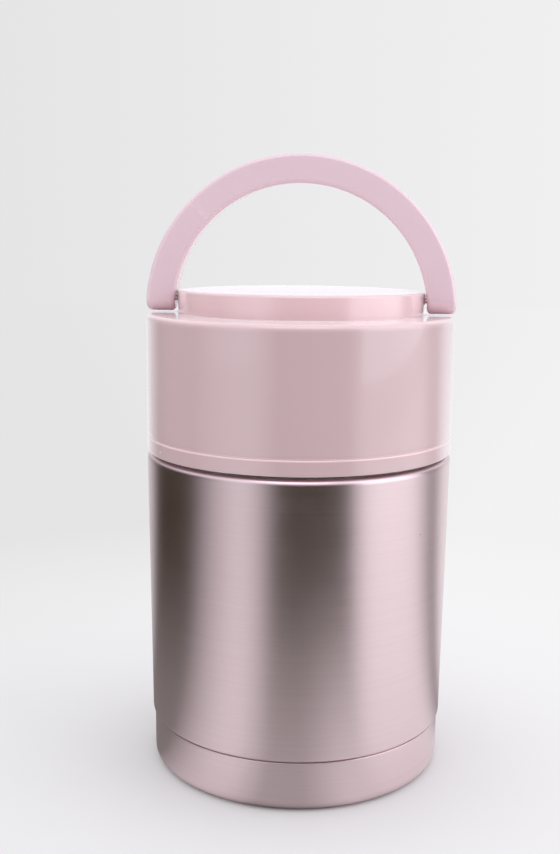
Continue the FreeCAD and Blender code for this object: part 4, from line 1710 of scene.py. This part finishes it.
    def room_group(self) -> bpy.types.NodeTree:
        """The room that gloss reflects, by azimuth: gloomy sides, pale elsewhere and above.

        Its outputs are the gloom, the share of that gloom on the floor next to the jar, and the
        room's colour.

        Returns:
            The group's tree.
        """
        group = Group("room_by_azimuth", {"Place": None},
                      {"Gloom": "Float", "Near": "Float", "Colour": "Color"})
        x, y, z = group.split(group.unit(group.given["Place"]))
        azimuth = group.math("DEGREES", group.math("ARCTAN2", x, group.math("MULTIPLY", y, -1.0)))
        gloom: object = 0.0
        for side in self.sides:
            start, end = side.start + RIG_TURN, side.end + RIG_TURN
            rise = group.ramp(azimuth, start - side.rise, start + side.rise, 0.0, side.depth)
            fall = group.ramp(azimuth, end + side.fall, end - side.fall)
            gloom = group.math("MAXIMUM", gloom, group.product(rise, fall))
        gloom = group.product(gloom, group.ramp(z, *self.gloom_ceiling))
        front = group.product(group.ramp(azimuth, -60.0, -30.0, 0.72, 0.42),
                              group.ramp(azimuth, 8.0, 28.0, 1.0, 0.1))
        near = group.math("MAXIMUM", front, group.ramp(azimuth, 85.0, 100.0, 0.0, 0.85))
        return group.give(Gloom=gloom, Near=near, Colour=group.mix(gloom, self.room_pale, self.room_dark))

    def backdrop_group(self) -> bpy.types.NodeTree:
        """Colour of the backdrop, painted a little brighter to the right as if more light falls on it from
        that side.

        Returns:
            The group's tree.
        """
        group = Group("backdrop", {"Place": None}, {"Colour": "Color"})
        across = group.ramp(group.split(group.unit(group.given["Place"]))["X"], -0.35, 0.25)
        return group.give(Colour=group.mix(across, self.backdrop_left, self.backdrop_right))

    def world(self) -> None:
        """Backdrop for the camera, the room for gloss and an even fill for matt surfaces."""
        world = bpy.data.worlds.new("studio")
        bpy.context.scene.world = world
        world.use_nodes = True
        wiring = Wiring(world.node_tree)
        path = wiring.add("ShaderNodeLightPath").outputs
        place = wiring.add("ShaderNodeTexCoord").outputs["Generated"]
        x, y, _ = wiring.split(place)
        fill = wiring.mix(wiring.ramp(y, -0.6, 0.2), self.fill_front, self.fill_back)
        aside = wiring.ramp(wiring.math("ABSOLUTE", x), 0.45, 0.95)
        fill = wiring.mix(aside, fill, self.fill_side)
        colour = wiring.mix(path["Is Glossy Ray"], fill, wiring.group(self.room, Place=place)["Colour"])
        backdrop = wiring.group(self.backdrop, Place=place)["Colour"]
        colour = wiring.mix(path["Is Camera Ray"], colour, backdrop)
        wiring.link(colour, wiring.find("BACKGROUND").inputs["Color"])

    def build(self) -> None:
        """Set the stage, and leave the view settings plain."""
        bpy.context.scene.view_settings.view_transform = "Standard"
        self.room, self.backdrop = self.room_group(), self.backdrop_group()
        self.camera()
        self.floor()
        self.world()
        for lamp in self.lamps:
            lamp.build()


def main() -> None:
    """Build the jar and its studio."""
    logging.basicConfig(level=logging.INFO, format="%(name)s %(message)s")
    palette = Palette.build()
    for assembly in (SteelBody(palette), InsulatedLid(palette), BailHandle(palette), Stopper(palette),
                     PressureVent(palette)):
        assembly.build()
    Studio().build()


if __name__ == "__main__":
    main()
